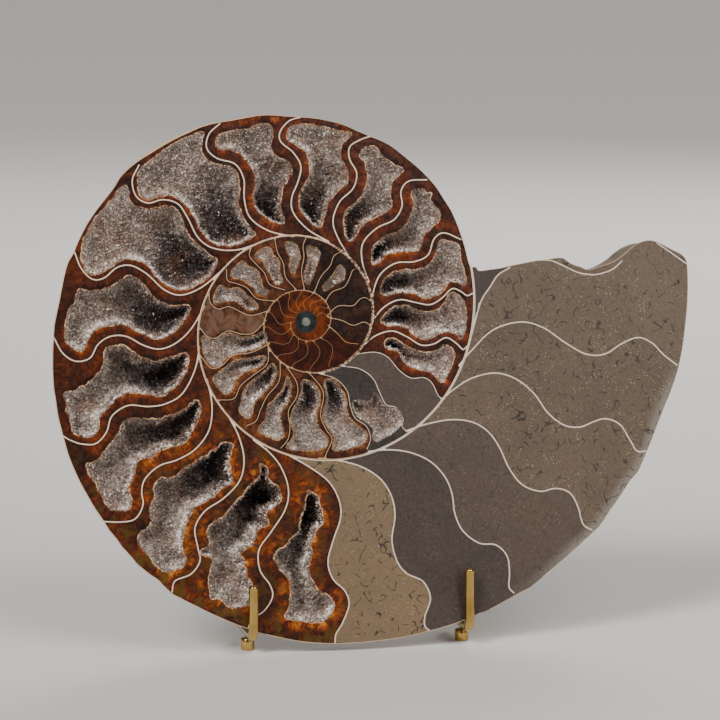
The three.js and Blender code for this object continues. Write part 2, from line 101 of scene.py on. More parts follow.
# Pixels of the photograph, 720 by 720, read one by one
# The rim of the cut face, from the notch where the last whorl starts to the tip, and back along the break
OUTLINE = """
470,265.5 465,247 459.5,230 452,212 444,199 437,188 430,179.5 420.5,169.7 411,161.5 400.5,153 390.5,145.5
380,140 368,135.2 350,127.3 340,123.5 325,119.8 310,117.3 296,116.2 284,115.3 270,114.3 258,114.8 245,117
230,119.7 214,122.3 200,126 188,131 176,136.2 162,143.5 150,150.7 139,158.3 129,166.5 120,176.3 114.5,186
107,196 97,208.7 89.5,219.5 84.5,228 78,241 73,253 67.5,263 64.5,273 62,284.5 59,300.5 56.5,312 54,325
52.9,340 52.25,355 52.35,372 53.3,388 55.2,400 57.3,415 60.5,428 63.8,440.5 67.8,454.5 73,468 80,483
87.5,496.5 94,507.7 102,519.5 110,531.7 116.5,539.5 122.8,548 131,557.2 140,567 150,575 158,580.5 166,588.3
173,594.5 182,599.5 192,604.5 206,611.5 220,618 234,624 247,628.7 260,633.3 275,636.8 292,640.3 310,642.8
330,643.8 350,643.5 375,641.3 400,638 417,634.5 430,631.2 445,627 460,622 476,615 490,609.5 503,602.5
519,593.5 535,584 550,571 566,557.5 583,542 593,532.5 602,523 610,511 621,495 630,481 638.5,470.5 645,456.5
651,442 657,426 664,408 670,393 676,376 680,361 683,345 685.3,326 687.3,306 688,287 687.6,270 686.3,260
681,254 670,248.3 660,243 651.5,240.3 644.5,240.7 637,243.7 630,248.7 622,256 611.5,262.5 600,266.3
588,269.6 582,267.3 572,263.8 567,260.6 563.5,258 557,257.7 548,259 534,260.9 515,264.6 500,268 490,269.3
479,270.6 476,266.5
"""
# The walls between the chambers, newest first, each from the spiral wall outwards
# One row is one wall, and a row goes on in the lines that start with a space
SEPTA = """
461,363 472,350 493,330 520,322 543,327.5 565,342.5 586,354 605,354 622,343.5 638,337.5 652,343 664,355
 677,365
444,398 453,390 471,378.5 495,373 516,379 534,393.5 548,413 564,425 580,427 594,421.5 606,418.7 620,424.5
 630,440 637,451 646,451
410,429.5 429,423.5 452,419.6 473,422.3 489,432.5 500,448.5 509,468 522,484.5 540,491.3 556,488.4 570,493
 578,507 583,524 592,530
372,451 391,449.8 412,453 431,462 445,477 452,494 455,514 463,531 479,543 496,545 507,556 509.5,572 509,587
 514,593
322,458.5 341,461 362,467 380,478.5 391,495 395,515 392,540 397,561 407,573.5 423,581.5 430.5,598 425,616
 425,626 430,631
292,457 311,468 329,482 339,500 340.5,518 333,541 328,562 333,579 345,591 349,605 342,624 336,634 335,643.5
256,442 270,453 282,469 288.5,490 285,510 271,532 259,550 260,570 270,585 272.5,597 264,611 252,619 248,629
231,421 239,437 244,459 240,480 224,498 205,511 195,528 198,548 200,561 191,574 175,581 172,592
208,383 212,406 209,430 196,448.5 178,459.5 159,466 145,479 141.7,492 143,505 135,519 120,522 103,521.5
199,350 194.5,371 182,394 165,404 148,406.5 128,405.5 112,416 106.5,432 96,443.5 82,444 71,440.5 63,436
203,309 191,329 176,343 160,349 144,345.5 126,336.3 110,336.5 98,344.5 90,358 76,361.3 63,353.5 54,338
221,271 202,287 181,295 164,289.5 147,274 131,265.5 117,267.5 104,278 92,279 81,268 74.5,252
259,243 236,250 213,248 198,237.5 188,218.5 178,204 163,199.6 148,203 136,196 132.3,180 139,165
290,236 268,230.5 250,217.5 244.3,199 243.8,179 235,164 217,158.3 206.7,148 209,134 220,123.5
326,240 308,229.5 293.5,213 291.7,198 298,181.5 300.8,166 293,152.3 281,142 280,132 289,121 301,117
349,256 338.5,239 333,221 339.5,202 353,188.5 356.7,173 349.5,159 350,146.5 362,139 372,136
368,279 362.3,262 363,243 377,228 394,219.7 402,206 401,191 409,181 427,179.7
372.5,302 374,289 381,273.5 396,263 414,261.7 428,255 434,239 444,232.8 461,239.5
371,323 383,308 399,299.8 415,302.3 430,304.6 442,298 452,288.7 461,291.5 467,295.7 472,293.5
363,346 375,336 392,331 407,336.8 421,345 434,343.8 446,337.6 456,343 463,349.6 466,347
358,354 375,352.2 388,357.3 399,370 411,378 424,377.6 432,383 438,395 441,398
344,366.5 360,369 373,378.5 379,391 386,404.5 396,407.5 403,418 402,426 406,431
322,374.5 336,379 347,391 350,405 355,418 366,426 370.5,438 367,449
309,373 321,387 323.5,398 320.5,415 326,429.5 332,439 327,452 325,457
288,369 296.5,382 297,396 288.5,411 290,427 288,439 281,448
280,364 279,381 267,396.5 260.5,410 256,421 246,426
268,350 267,364 252,376 240.5,386 234,398.5 219,400
267,345 251,352.5 233,355.3 222,365.5 211,368 201.5,357
264,322.5 254,332.5 242,334.2 228,331 215,338.3 206,335.5 200.5,328
267,311 252,315.3 240,311.5 229,306.5 218,309 210,302 209,292
271,300.5 257,298.5 247,288 236,283.3 227.5,280.5 226.5,269
282,289 270,284.5 264.5,273 256,264 249.5,256 251,248
294,287 285.5,277 283.5,264 277.5,252 275,240
304,287 301.5,272 304,257 303,246 306,238
316,288 321,276.5 330,266 334,256 342,251
326.5,300 332,292 344,287 349.5,278 353,270 360,269
330,313 338,306 353,305.6 360,299 366,297.7 371,302
330.5,318 342,320.5 353,325.3 364,322 371,326
330,327 338,334 346,342 358,344
"""
# The edges of the open chambers, newest first, in rows of the same kind
MOUTHS = """
309,491 318,496 320.6,505.6 324,519 318,528 313,539 312,552 308.3,566 311,579 318,589.5 331,599 333,608
 328,617 317,622.5 301,621 287,618 287,611 291,603 291,590 288.5,578 281,569 274,559 277,552 286,545
 298,531.5 300.5,520 304,511 307,500
260,464 266,468 268,478 278,487 281,500 274,507 266,511 266,518 267,525 258,529 256.5,537 250,545.5 241,555
 245,561 245,575 252,584 249,600 246,606 232,608 223,603 217,597.5 211,599 209.5,589 210,573 212,559 202,554
 203,549.5 210,544 206,534 213,522.5 225,517 234,504 244,496 248,488 256,481 261,472
232,444 230.5,456 230,468 230,483 219,490 212,498 197,506.5 190,515 185,528 181,540 184,553 185,563 176,570
 165,571 153,560.5 143,549 137.5,542 140,534 151,524 151,508 156,495 154,486 160,480 174,477 188,466 204,458
 214,451 224,443
200.5,409 195.5,425 189,436 178,445.5 162,449.5 152,456.5 141,459.5 135,468 132.5,479 128.5,487 131,500
 127,509 113,511 105.5,503 102,494 94,482 85.5,466.5 97,460 106,452 112,442.5 119,433 123,422.5 134,418.5
 148,420 162,418.5 176,414.5 188,407 196,401
104,350 114,346.3 123,346 134,353 147,360 160,361.2 172,357.5 186,352.8 189,361 184,374 174,387 163,394.5
 148,394 132,392 119,397 109,405.5 99,417 98,427 92,435 82,437 74,433 70,421 66,404 64.5,393 76,390 89,383
 103,369 104,360
81,289 92,291.3 102,290.8 112,286 121,279.5 129,276 138,280 147,290 156,299 168,305 184,305.7 190,308
 185,320 174,331.5 162,338.3 150,337 137,330 122,324 109,325.2 95,330.5 88,339 85,348.5 78,350.5 66,341.5
 65.7,329 67.5,316 71,308 76,303 77,295
124.5,185.5 128.7,192 129,200 137,207 149,209.4 159,208 168,206.5 178,211 183,222 187,234 196,244 208,253
 216.5,259.5 215,269 207,278.5 194,286 180,290 167,285 156,276 146.5,264.5 136,260 120,260 108,268.5
 98,274.5 89,272 82,261 82.5,246 88,231 97,216.5 108,205 116,194.5
139,171 151,160.6 163,150.5 176,143 190,136.5 203,132 201,142 201,152.5 209,161.5 222,165.5 232,168.5
 238,178 239.3,190 238.5,203 243,218 251,229.5 255.5,234 245,241 232,245.5 218,244.7 208,239.5 199,227.5
 192,212.5 183,202 172,195 160,196 147,198.5 140,194 137.8,182
258,125 269,125 272.5,134 270.3,145 275,156 287,161.8 291,169 287.5,179 281.5,192 280,206 283.5,222 277,223
 264,215.7 256,207.5 253.4,196 255.7,183 253,170 244,157 231,149.3 220,149 216,142 222,133.5 236,130.5
 248,129.5
293,126 307,125 321,127.3 336,130.3 351,134 342.5,144 340,156 347,170 348,181 337,192.5 328,203 324,218
 319,227 312,223.5 302,213 299,201 303,188 309.5,177 310,163 304.5,150 290,142 286,136 289,129.5
363,148.5 370,146.5 377,149 382,156.5 392,163.5 403.5,169.5 397,176 391,185 390,197 390.5,208 381,214.5
 369,220 360,228.5 352,241 347,237 344,223 346.5,210.5 358,200.5 365.5,189 368,175 366,164 360,156
412,190.5 422,189.3 426,194 431.5,193 430,200 437,209 439.3,217 434,226 424,233.5 421.7,243 416,250.3
 402,250.7 389,253.7 374.5,264 372,257 374,247 384,237.3 399,231.5 408,221 413.5,207 412.8,198
440,241 448,240.7 457,245 461,258 464,271 465.3,284.5 457,281.5 448,283.7 438,294 427,297.7 413,293
 399,291.7 384,295.5 381.7,287 389,275.5 402,269.8 417,270 429,264.5 436.5,253
454.5,293 463,301 466.3,312 465.5,327 461,339 455.5,333.5 444,332 434,337 425,339.4 415,334.5 404,326.7
 390,325 381.5,322.5 386,313.5 396,306.7 409,307 421,311.8 434,311.5 443,305.5 448,296.5
388,339 399,340 410,348.5 422,352.6 434,351.7 444.5,346.7 451,349 453.4,357 450,368 443,380.7 434,374.5
 421,369.3 412,369 404.5,360.5 398,351.3 385,347.5
352,401 361,399.7 369,400.5 374.5,392 380,397 386,405.5 396.5,407.8 402.5,415.5 402,424 393,433 377,442
 372.3,436 372.5,428.5 364,421.5 355,414.5
325,380 334,380 341,389 346,401 347.5,413.5 355,424 366,432.5 365.5,441 357,446.5 334,450.5 334.5,438
 327,426.5 322.8,415 326.5,401 325.5,389
302.5,381 312,383 319,393 319,405 316,417 320,429 327,437.5 326,446 318,450 303,450.5 287,448 293,438
 293.5,429 290.5,419 295,406 301,394
287.5,376.5 291,387 289,400 281.5,411 281,423 284,434 277.5,440 268,436 258.5,430 266,419 267.3,408
 276,397.5 284,388
272,364 276.3,370 274,381 265,391.5 254,403.5 252,415 247,418 240,411.5 241.5,400 245.5,388 256,378.5
 265,371
258,357 265.5,357 260,366.5 246,371 236,379.5 232,390 226,394 219.5,389.5 213.5,378 224,369 236,361
202.3,336.5 212,341 221,336.5 230,333.5 242,337.3 256,335 264.5,331.5 267,341 254,349 236,353.7 226,357.5
 219,366 208,363.5 203.5,350
221,286 229,289.4 238,288 246,295 256.5,304.5 256,309 248,309.5 237,301.3 226,301 216,303.8 214,298 217,290
242,262 248,267 257,270.5 260.5,280 263,288 269,292 260,295 251,285 240,278.7 232.5,277.5 232,271
261,250 270,248 273,255 279,260 279,270 282,281 276.5,284 269.5,273 263,261 255,257
285,244 290,242 297,247 299.5,258 297,268 293,273.5 290,267 290.5,257 286.5,249.5
307,247 316,248 320,254 316.5,265 313,276 308,284.5 304.5,277 307,265 308,255
340,265.5 344.5,271 343,279.5 336,283.5 326,290 323.5,286 330,278.5 335,272
"""
# The last points of the rim run along the broken end; this many of them
BREAK_POINTS = 23
# Edge of the umbilical lip in the body chamber, and the pocket of darker mud between it and the wall
LIP = "510,267.5 498,275 490,287 483,297 479,307 476,318 472,333"
POCKET = LIP + " 472,266 490,269"
# The shell left standing along the broken edge
BROKEN_SHELL = "540,260 550,260.3 560,264 570,269 580,273 593,274.7 603,273 613,269 622,261"
BROKEN_SHELL_TIP = "657,243 670,252 680,259 687,264"


def read_points(text: str) -> np.ndarray:
    """Reads one line of pixel pairs.

    Args:
        text: pairs such as "470,265 465,247".

    Returns:
        One row for each point.
    """
    return np.array([pair.split(",") for pair in text.split()], dtype=float)


def read_rows(text: str) -> list[np.ndarray]:
    """Reads rows of pixel pairs, each of which goes on in the lines that start with a space.

    Args:
        text: the rows.

    Returns:
        The points of each row.
    """
    return [read_points(row) for row in text.strip().replace("\n ", " ").splitlines()]


def view_axes() -> tuple[np.ndarray, np.ndarray, np.ndarray]:
    """Returns the photograph's right, up and forward directions in the frame."""
    level = math.cos(VIEW_RISE)
    forward = np.array([math.sin(VIEW_YAW) * level, math.cos(VIEW_YAW) * level, -math.sin(VIEW_RISE)])
    right = np.array([math.cos(VIEW_YAW), -math.sin(VIEW_YAW), 0.0])
    return right, np.cross(right, forward), forward


def face_axes() -> np.ndarray:
    """Returns the cut face's own axes as rows: across, up and out of the stone."""
    lean_sin, lean_cos = math.sin(FACE_LEAN), math.cos(FACE_LEAN)
    return np.array([[1.0, 0.0, 0.0], [0.0, lean_sin, lean_cos], [0.0, -lean_cos, lean_sin]])


def on_face(pixels: np.ndarray) -> np.ndarray:
    """Carries pixels to the cut face along the eye's rays: where each ray meets the leaning plane.

    Args:
        pixels: one row for each pixel.

    Returns:
        Millimetres across and up the face from FACE_POINT.
    """
    right, up, forward = view_axes()
    across, rise, normal = face_axes()
    axis = forward * VIEW_DISTANCE
    ray = axis + np.outer(pixels[:, 0] - PHOTO_MIDDLE, right) * PIXEL
    ray = ray + np.outer(PHOTO_MIDDLE - pixels[:, 1], up) * PIXEL
    hit = ray * (axis @ normal / (ray @ normal))[:, None] - axis
    return np.stack([hit @ across, hit @ rise], axis=1)


def to_pixels(face: np.ndarray) -> np.ndarray:
    """Carries points of the cut face back to the pixels that see them, the inverse of on_face.

    Args:
        face: millimetres across and up the face from FACE_POINT.

    Returns:
        The pixel of each point.
    """
    right, up, forward = view_axes()
    across, rise, _ = face_axes()
    ray = forward * VIEW_DISTANCE + np.outer(face[:, 0], across) + np.outer(face[:, 1], rise)
    scale = VIEW_DISTANCE / (ray @ forward) / PIXEL
    return np.stack([PHOTO_MIDDLE + ray @ right * scale, PHOTO_MIDDLE - ray @ up * scale], axis=1)


def to_frame(local: np.ndarray) -> np.ndarray:
    """Carries points given across, up and out of the face to the frame, in millimetres."""
    return FACE_POINT + local @ face_axes()


def smooth_line(points: np.ndarray, spacing: float, closed: bool = False) -> np.ndarray:
    """Draws a Catmull-Rom curve through points and spaces it evenly.

    Between two points the curve is the cubic whose slope at each is half the step between its neighbours.

    Args:
        points: the points it passes through, one row each.
        spacing: distance between the points returned.
        closed: whether the curve returns to its first point.

    Returns:
        Evenly spaced points; a closed curve doesn't repeat its first.
    """
    if closed:
        ring = np.vstack([points[-1:], points, points[:2]])
    else:
        ring = np.vstack([2 * points[0] - points[1], points, 2 * points[-1] - points[-2]])
    before, start, end, after = ring[:-3, None], ring[1:-2, None], ring[2:-1, None], ring[3:, None]
    t = np.linspace(0, 1, 12, endpoint=False)[None, :, None]
    curve = 0.5 * (2 * start + (end - before) * t + (2 * before - 5 * start + 4 * end - after) * t**2
                   + (3 * start - before - 3 * end + after) * t**3)
    curve = np.vstack([curve.reshape(-1, points.shape[1]), points[:1] if closed else points[-1:]])
    length = np.concatenate([[0], np.cumsum(np.linalg.norm(np.diff(curve, axis=0), axis=1))])
    count = max(2, round(length[-1] / spacing))
    stations = np.linspace(0, length[-1], count + 1)
    if closed:
        stations = stations[:-1]
    return np.stack([np.interp(stations, length, column) for column in curve.T], axis=1)


def wall_radius(angle: np.ndarray) -> np.ndarray:
    """Radius of the spiral wall: a smooth curve through the logarithms of the read radii.

    Args:
        angle: running angles in degrees.

    Returns:
        Distances from the spiral's centre, in pixels.
    """
    angles = WALL_START + WALL_STEP * np.arange(len(WALL_RADII))
    knots = np.stack([angles, LOG_SCALE * np.log(WALL_RADII)], axis=1)
    curve = smooth_line(knots, 4.0)
    return np.exp(np.interp(angle, curve[:, 0], curve[:, 1]) / LOG_SCALE)


@dataclass
class Nearest:
    """The nearest places on a line: distance, length along it, side (left is +1) and the step away."""

    distance: np.ndarray
    along: np.ndarray
    side: np.ndarray
    away: np.ndarray


def nearest(points: np.ndarray, line: np.ndarray, closed: bool = False, reach: float = 1e3) -> Nearest:
    """Finds the nearest place on a line for each point: the shortest of the drops on to its segments.

    Args:
        points: one row for each point.
        line: the line's points.
        closed: whether the line returns to its first point.
        reach: points farther than this from the line's box are left at this distance.

    Returns:
        Arrays as long as points.
    """
    start = line if closed else line[:-1]
    edge = (np.roll(line, -1, axis=0) if closed else line[1:]) - start
    size = np.maximum(np.linalg.norm(edge, axis=1), 1e-9)
    begun = np.concatenate([[0], np.cumsum(size)[:-1]])
    found = Nearest(*(np.full(len(points), value) for value in (reach, 0.0, 1.0)), np.zeros((len(points), 2)))
    near = np.all((points > line.min(0) - reach) & (points < line.max(0) + reach), axis=1)
    for chosen in np.array_split(np.flatnonzero(near), max(1, int(near.sum() * len(edge) // 2_000_000))):
        step = points[chosen, None] - start
        t = np.clip((step * edge).sum(2) / size**2, 0, 1)
        gap = step - t[..., None] * edge
        best = np.argmin((gap**2).sum(2), axis=1)
        row = np.arange(len(chosen))
        found.away[chosen] = gap[row, best]
        found.distance[chosen] = np.linalg.norm(gap[row, best], axis=1)
        found.along[chosen] = begun[best] + t[row, best] * size[best]
        cross = edge[best, 0] * step[row, best, 1] - edge[best, 1] * step[row, best, 0]
        found.side[chosen] = np.where(cross < 0, -1.0, 1.0)
    return found


def inside(points: np.ndarray, ring: np.ndarray) -> np.ndarray:
    """Tells which points lie inside a closed line: a ray to the right crosses it an odd number of times.

    Args:
        points: one row for each point.
        ring: the closed line's points.

    Returns:
        True for each point inside.
    """
    hits = np.zeros(len(points), dtype=bool)
    near = np.flatnonzero(np.all((points > ring.min(0)) & (points < ring.max(0)), axis=1))
    after = np.roll(ring, -1, axis=0)
    for chosen in np.array_split(near, max(1, len(near) * len(ring) // 2_000_000)):
        x, y = points[chosen, 0:1], points[chosen, 1:2]
        spans = (ring[:, 1] > y) != (after[:, 1] > y)
        rise = np.where(after[:, 1] == ring[:, 1], 1e-12, after[:, 1] - ring[:, 1])
        cut = ring[:, 0] + (y - ring[:, 1]) / rise * (after[:, 0] - ring[:, 0])
        hits[chosen] = (spans & (x < cut)).sum(1) % 2 == 1
    return hits


def hex_grid(low: np.ndarray, high: np.ndarray, spacing: float, rng: np.random.Generator,
             stir: float) -> np.ndarray:
    """Lays points in a box on rows shifted by half a step, each stirred by a share of the spacing.

    Args:
        low: the box's lowest corner.
        high: its highest corner.
        spacing: distance between neighbours.
        rng: the random source.
        stir: farthest a point is stirred each way, as a share of the spacing.

    Returns:
        The points.
    """
    x = np.arange(low[0], high[0], spacing)
    y = np.arange(low[1], high[1], spacing * math.sqrt(0.75))
    grid = np.stack(np.meshgrid(x, y), axis=2)
    grid[1::2, :, 0] += spacing / 2
    return grid.reshape(-1, 2) + rng.uniform(-stir, stir, (len(x) * len(y), 2)) * spacing


def beside(points: np.ndarray, taken: np.ndarray, gap: float) -> np.ndarray:
    """Tells which points have a taken point in their square cell or in a neighbouring one.

    Args:
        points: the points asked about.
        taken: the taken points.
        gap: side of a cell.

    Returns:
        True for each point that has one.
    """
    def key(cells: np.ndarray) -> np.ndarray:
        """One whole number for each cell."""
        return cells[:, 0].astype(np.int64) * 1_000_003 + cells[:, 1].astype(np.int64)

    cells = np.floor(taken / gap)
    used = np.unique(np.concatenate([key(cells + [i, j]) for i in (-1, 0, 1) for j in (-1, 0, 1)]))
    return np.isin(key(np.floor(points / gap)), used)


def triangulate(points: np.ndarray, lines: list[tuple[np.ndarray, bool]]) -> tuple[np.ndarray, np.ndarray]:
    """Joins points into Delaunay triangles that no given line crosses.

    Args:
        points: free points, one row each.
        lines: pairs of a line's points and whether it is closed.

    Returns:
        All points used, and the triangles as rows of three indices, counter-clockwise.
    """
    start = np.cumsum([0] + [len(line) for line, _ in lines])
    edges = []
    for (line, closed), first in zip(lines, start):
        index = np.arange(first, first + len(line))
        edges.append(np.stack([index, np.roll(index, -1)], axis=1)[: None if closed else -1])
    everything = np.vstack([line for line, _ in lines] + [points])
    result = delaunay_2d_cdt([Vector(p) for p in everything.tolist()], np.vstack(edges).tolist(), [], 0, 1e-5)
    places = np.array([tuple(p) for p in result[0]])
    faces = np.array(result[2], dtype=int)
    a, b, c = (places[faces[:, i]] for i in range(3))
    turned = (b - a)[:, 0] * (c - a)[:, 1] - (b - a)[:, 1] * (c - a)[:, 0] < 0
    faces[turned] = faces[turned][:, ::-1]
    return places, faces


class Spiral:
    """The coiled shell on the cut face: its wall, its whorls and the thickness of the stone behind it.

    The whorl is carried on past the tip by up to past_tip degrees, and the stone by tip_margin degrees.
    """

    past_tip: float = 40.0
    tip_margin: float = 11.0

    def __init__(self, rim: np.ndarray) -> None:
        """Takes the rim as distances by running angle.

        Args:
            rim: the rim in pixels, from the notch round to the tip.
        """
        dx, dy = rim[:, 0] - SPIRAL_CENTRE[0], SPIRAL_CENTRE[1] - rim[:, 1]
        angle = np.degrees(np.unwrap(np.arctan2(dy, dx)))
        self.rim_angle = angle - angle[0] + NOTCH_TURN
        self.rim_reach = np.hypot(dx, dy)
        self.tip_side = dx[-1]

    def outer(self, angle: np.ndarray) -> np.ndarray:
        """Distance to the outside of a whorl: the wall, or past the notch the rim, or past the tip a line.

        Args:
            angle: running angles in degrees.

        Returns:
            Distances in pixels.
        """
        beyond = np.minimum(angle - self.rim_angle[-1], self.past_tip)
        past = self.tip_side / np.cos(np.radians(beyond) + self.tip_angle)
        rim = np.where(angle > self.rim_angle[-1], past, np.interp(angle, self.rim_angle, self.rim_reach))
        return np.where(angle > NOTCH_TURN, rim, wall_radius(angle))

    @property
    def tip_angle(self) -> float:
        """Angle of the tip above the spiral's centre, in radians."""
        return math.radians(self.rim_angle[-1] % 360)

    def polar(self, face: np.ndarray) -> tuple[np.ndarray, np.ndarray]:
        """Gives the place of each point round the spiral's centre.

        Args:
            face: points of the face.

        Returns:
            Distances in pixels from the spiral's centre, and angles from 0 to 360 degrees.
        """
        pixels = to_pixels(face)
        dx, dy = pixels[:, 0] - SPIRAL_CENTRE[0], SPIRAL_CENTRE[1] - pixels[:, 1]
        return np.hypot(dx, dy), np.degrees(np.arctan2(dy, dx)) % 360

    def turn(self, face: np.ndarray) -> np.ndarray:
        """Running angle of each point: its angle plus the fewest whole turns whose wall lies outside it.

        Args:
            face: points of the face.

        Returns:
            Running angles in degrees.
        """
        radius, angle = self.polar(face)
        turn = angle + 1440 * (angle < NOTCH_TURN - 1080) + 1080 * (angle >= NOTCH_TURN - 1080)
        for whole in (1080, 720, 360, 0):
            turn = np.where(wall_radius(angle + whole) > radius, np.minimum(turn, angle + whole), turn)
        return turn

    def across(self, face: np.ndarray, turn: np.ndarray) -> np.ndarray:
        """Place of each point across its whorl.

        Args:
            face: points of the face.
            turn: their running angles.

        Returns:
            0 at the inner wall to 1 at the outer one.
        """
        radius, _ = self.polar(face)
        inner = np.where(turn > 360 + WALL_START, wall_radius(turn - 360), 0)
        return np.clip((radius - inner) / (self.outer(turn) - inner), 0, 1)

    def whorl_height(self, turn: np.ndarray, radius: np.ndarray) -> np.ndarray:
        """Half thickness of a whorl: two quarter ellipses that meet where it is widest, nought outside it.

        Args:
            turn: running angles.
            radius: distances from the centre in pixels.

        Returns:
            Millimetres.
        """
        inner = SEAM * wall_radius(turn - 360)
        place = (radius - inner) / (self.outer(turn) - inner)
        side = np.where(place < WIDEST, (WIDEST - place) / WIDEST, (place - WIDEST) / (1 - WIDEST))
        round_part = np.sqrt(np.clip(1 - side**2, 0, 1))
        return THICKNESS_TO_RADIUS * wall_radius(turn) * PIXEL * round_part * (place > 0) * (side < 1)

    def thickness(self, face: np.ndarray) -> np.ndarray:
        """Thickness of the stone behind each point: the highest of the whorls that cover it.

        Args:
            face: points of the face.

        Returns:
            Millimetres.
        """
        radius, angle = self.polar(face)
        heights = [self.whorl_height(angle + whole, radius) for whole in (360, 720, 1080)]
        stone = angle + 1440 <= self.rim_angle[-1] + self.tip_margin
        last = np.where(stone, self.whorl_height(angle + 1440, radius), 0)
        centre = THICKNESS_TO_RADIUS * WALL_RADII[0] * PIXEL * (radius < 0.9 * WALL_RADII[0])
        return np.max(np.stack([*heights, last, centre]), axis=0)


class Drawing:
    """Every line of the cut face, in millimetres on it: rim, spiral wall, chamber walls and chamber mouths.

    The mouths are most ragged in the newest chambers, less in the rest of the last whorl, least inside it.
    """

    raggedness: tuple[float, float, float] = (0.28, 0.19, 0.09)
    newest: int = 5
    mouth_spacing: tuple[float, float] = (0.42, 0.3)
    overlap: float = 3.0
    line_spacing: float = 2.2
    light_turn: float = 0.018

    def __init__(self) -> None:
        """Reads the given points and draws a smooth line through each set."""
        outline = read_points(OUTLINE)
        self.spiral = Spiral(outline[:-BREAK_POINTS])
        rim_pixels = smooth_line(outline, 2.4, closed=True)
        self.rim = on_face(rim_pixels)
        broken = nearest(rim_pixels, outline[-BREAK_POINTS - 1:])
        whole = nearest(rim_pixels, outline[:-BREAK_POINTS])
        self.broken = broken.distance < whole.distance
        self.septa = [self.septum(points) for points in read_rows(SEPTA)]
        turns = np.arange(WALL_START, NOTCH_TURN + 1, 1.0)
        wall = np.stack([np.cos(np.radians(turns)), -np.sin(np.radians(turns))], axis=1)
        wall = wall * wall_radius(turns)[:, None] + SPIRAL_CENTRE
        self.wall = on_face(smooth_line(wall, self.line_spacing))
        self.edges = [on_face(smooth_line(read_points(row), self.line_spacing))
                      for row in (LIP, BROKEN_SHELL, BROKEN_SHELL_TIP)]
        rng = np.random.default_rng(SEED)
        self.mouths = [self.mouth(points, index, rng) for index, points in enumerate(read_rows(MOUTHS))]
        self.spokes = [self.spoke(turn) for turn in np.arange(SPOKE_FIRST, SPOKE_END, SPOKE_STEP)]
        self.centre = on_face(np.array([SPIRAL_CENTRE]))[0]
        middles = np.array([line[len(line) // 2] for line in self.septa])
        self.septum_turn = self.spiral.turn(middles)

    def septum(self, points: np.ndarray) -> np.ndarray:
        """One chamber wall, its inner end carried on by a few pixels so that it runs into the spiral wall.

        Args:
            points: its pixels.

        Returns:
            Evenly spaced points of the face.
        """
        step = points[0] - points[1]
        start = points[0] + step * self.overlap / np.linalg.norm(step)
        return on_face(smooth_line(np.vstack([start, points[1:]]), self.line_spacing))

    def spoke(self, turn: float) -> np.ndarray:
        """One chamber wall of the innermost whorls: from the inner wall to the outer one, bent like an S.

        Args:
            turn: its running angle at the inner end.

        Returns:
            Evenly spaced points of the face.
        """
        place = np.linspace(0, 1, 9)
        angle = turn + SPOKE_BEND * np.sin(2 * np.pi * 0.8 * place) - SPOKE_LEAN * place
        inner = np.maximum(wall_radius(angle - 360) * (angle > 360 + WALL_START), CORE_DISC)
        radius = inner + place * (wall_radius(angle) - inner)
        pixels = np.stack([np.cos(np.radians(angle)), -np.sin(np.radians(angle))], axis=1) * radius[:, None]
        return on_face(smooth_line(pixels + SPIRAL_CENTRE, 1.4))

    def glow(self, found: Nearest, face: np.ndarray) -> np.ndarray:
        """How far a step off an edge goes with the light: down, more to the left the higher the point lies.

        Args:
            found: what is nearest on the edge to each point.
            face: the points.

        Returns:
            1 along the light to -1 against it.
        """
        light = np.column_stack([-self.light_turn * (face[:, 1] - self.centre[1]), np.full(len(face), -1.0)])
        light /= np.linalg.norm(light, axis=1, keepdims=True)
        return np.clip((found.away * light).sum(1) / np.maximum(found.distance, 1e-3), -1, 1)

    def mouth(self, points: np.ndarray, index: int, rng: np.random.Generator) -> np.ndarray:
        """Edge of one open chamber: pushed in and out along its normal by two sizes of random bumps.

        The bumps are lower where the chamber or the calcite beside it is narrow, so that edges don't cross.

        Args:
            points: its pixels.
            index: which chamber it is, 0 for the newest.
            rng: the random source.

        Returns:
            Evenly spaced points of the face.
        """
        inner = index >= OUTER_MOUTHS
        line = on_face(smooth_line(points, 1.5, closed=True))
        line = smooth_line(line, self.mouth_spacing[inner], closed=True)
        step = np.roll(line, -1, axis=0) - np.roll(line, 1, axis=0)
        normal = np.stack([-step[:, 1], step[:, 0]], axis=1) / np.linalg.norm(step, axis=1, keepdims=True)
        fine, coarse = rng.normal(0, 1, (2, len(line)))
        for _ in range(4):
            coarse = (np.roll(coarse, 1) + 2 * coarse + np.roll(coarse, -1)) / 4
        raggedness = self.raggedness[0] if index < self.newest else self.raggedness[1 + inner]
        sides = [nearest(line + side * 0.9 * normal, line, closed=True).distance for side in (-1, 1)]
        free = np.clip((np.minimum(*sides) - 0.35) / 0.4, 0.1, 1)
        return line + normal * (raggedness * free * np.clip(0.3 * fine + 1.3 * coarse, -2, 2))[:, None]


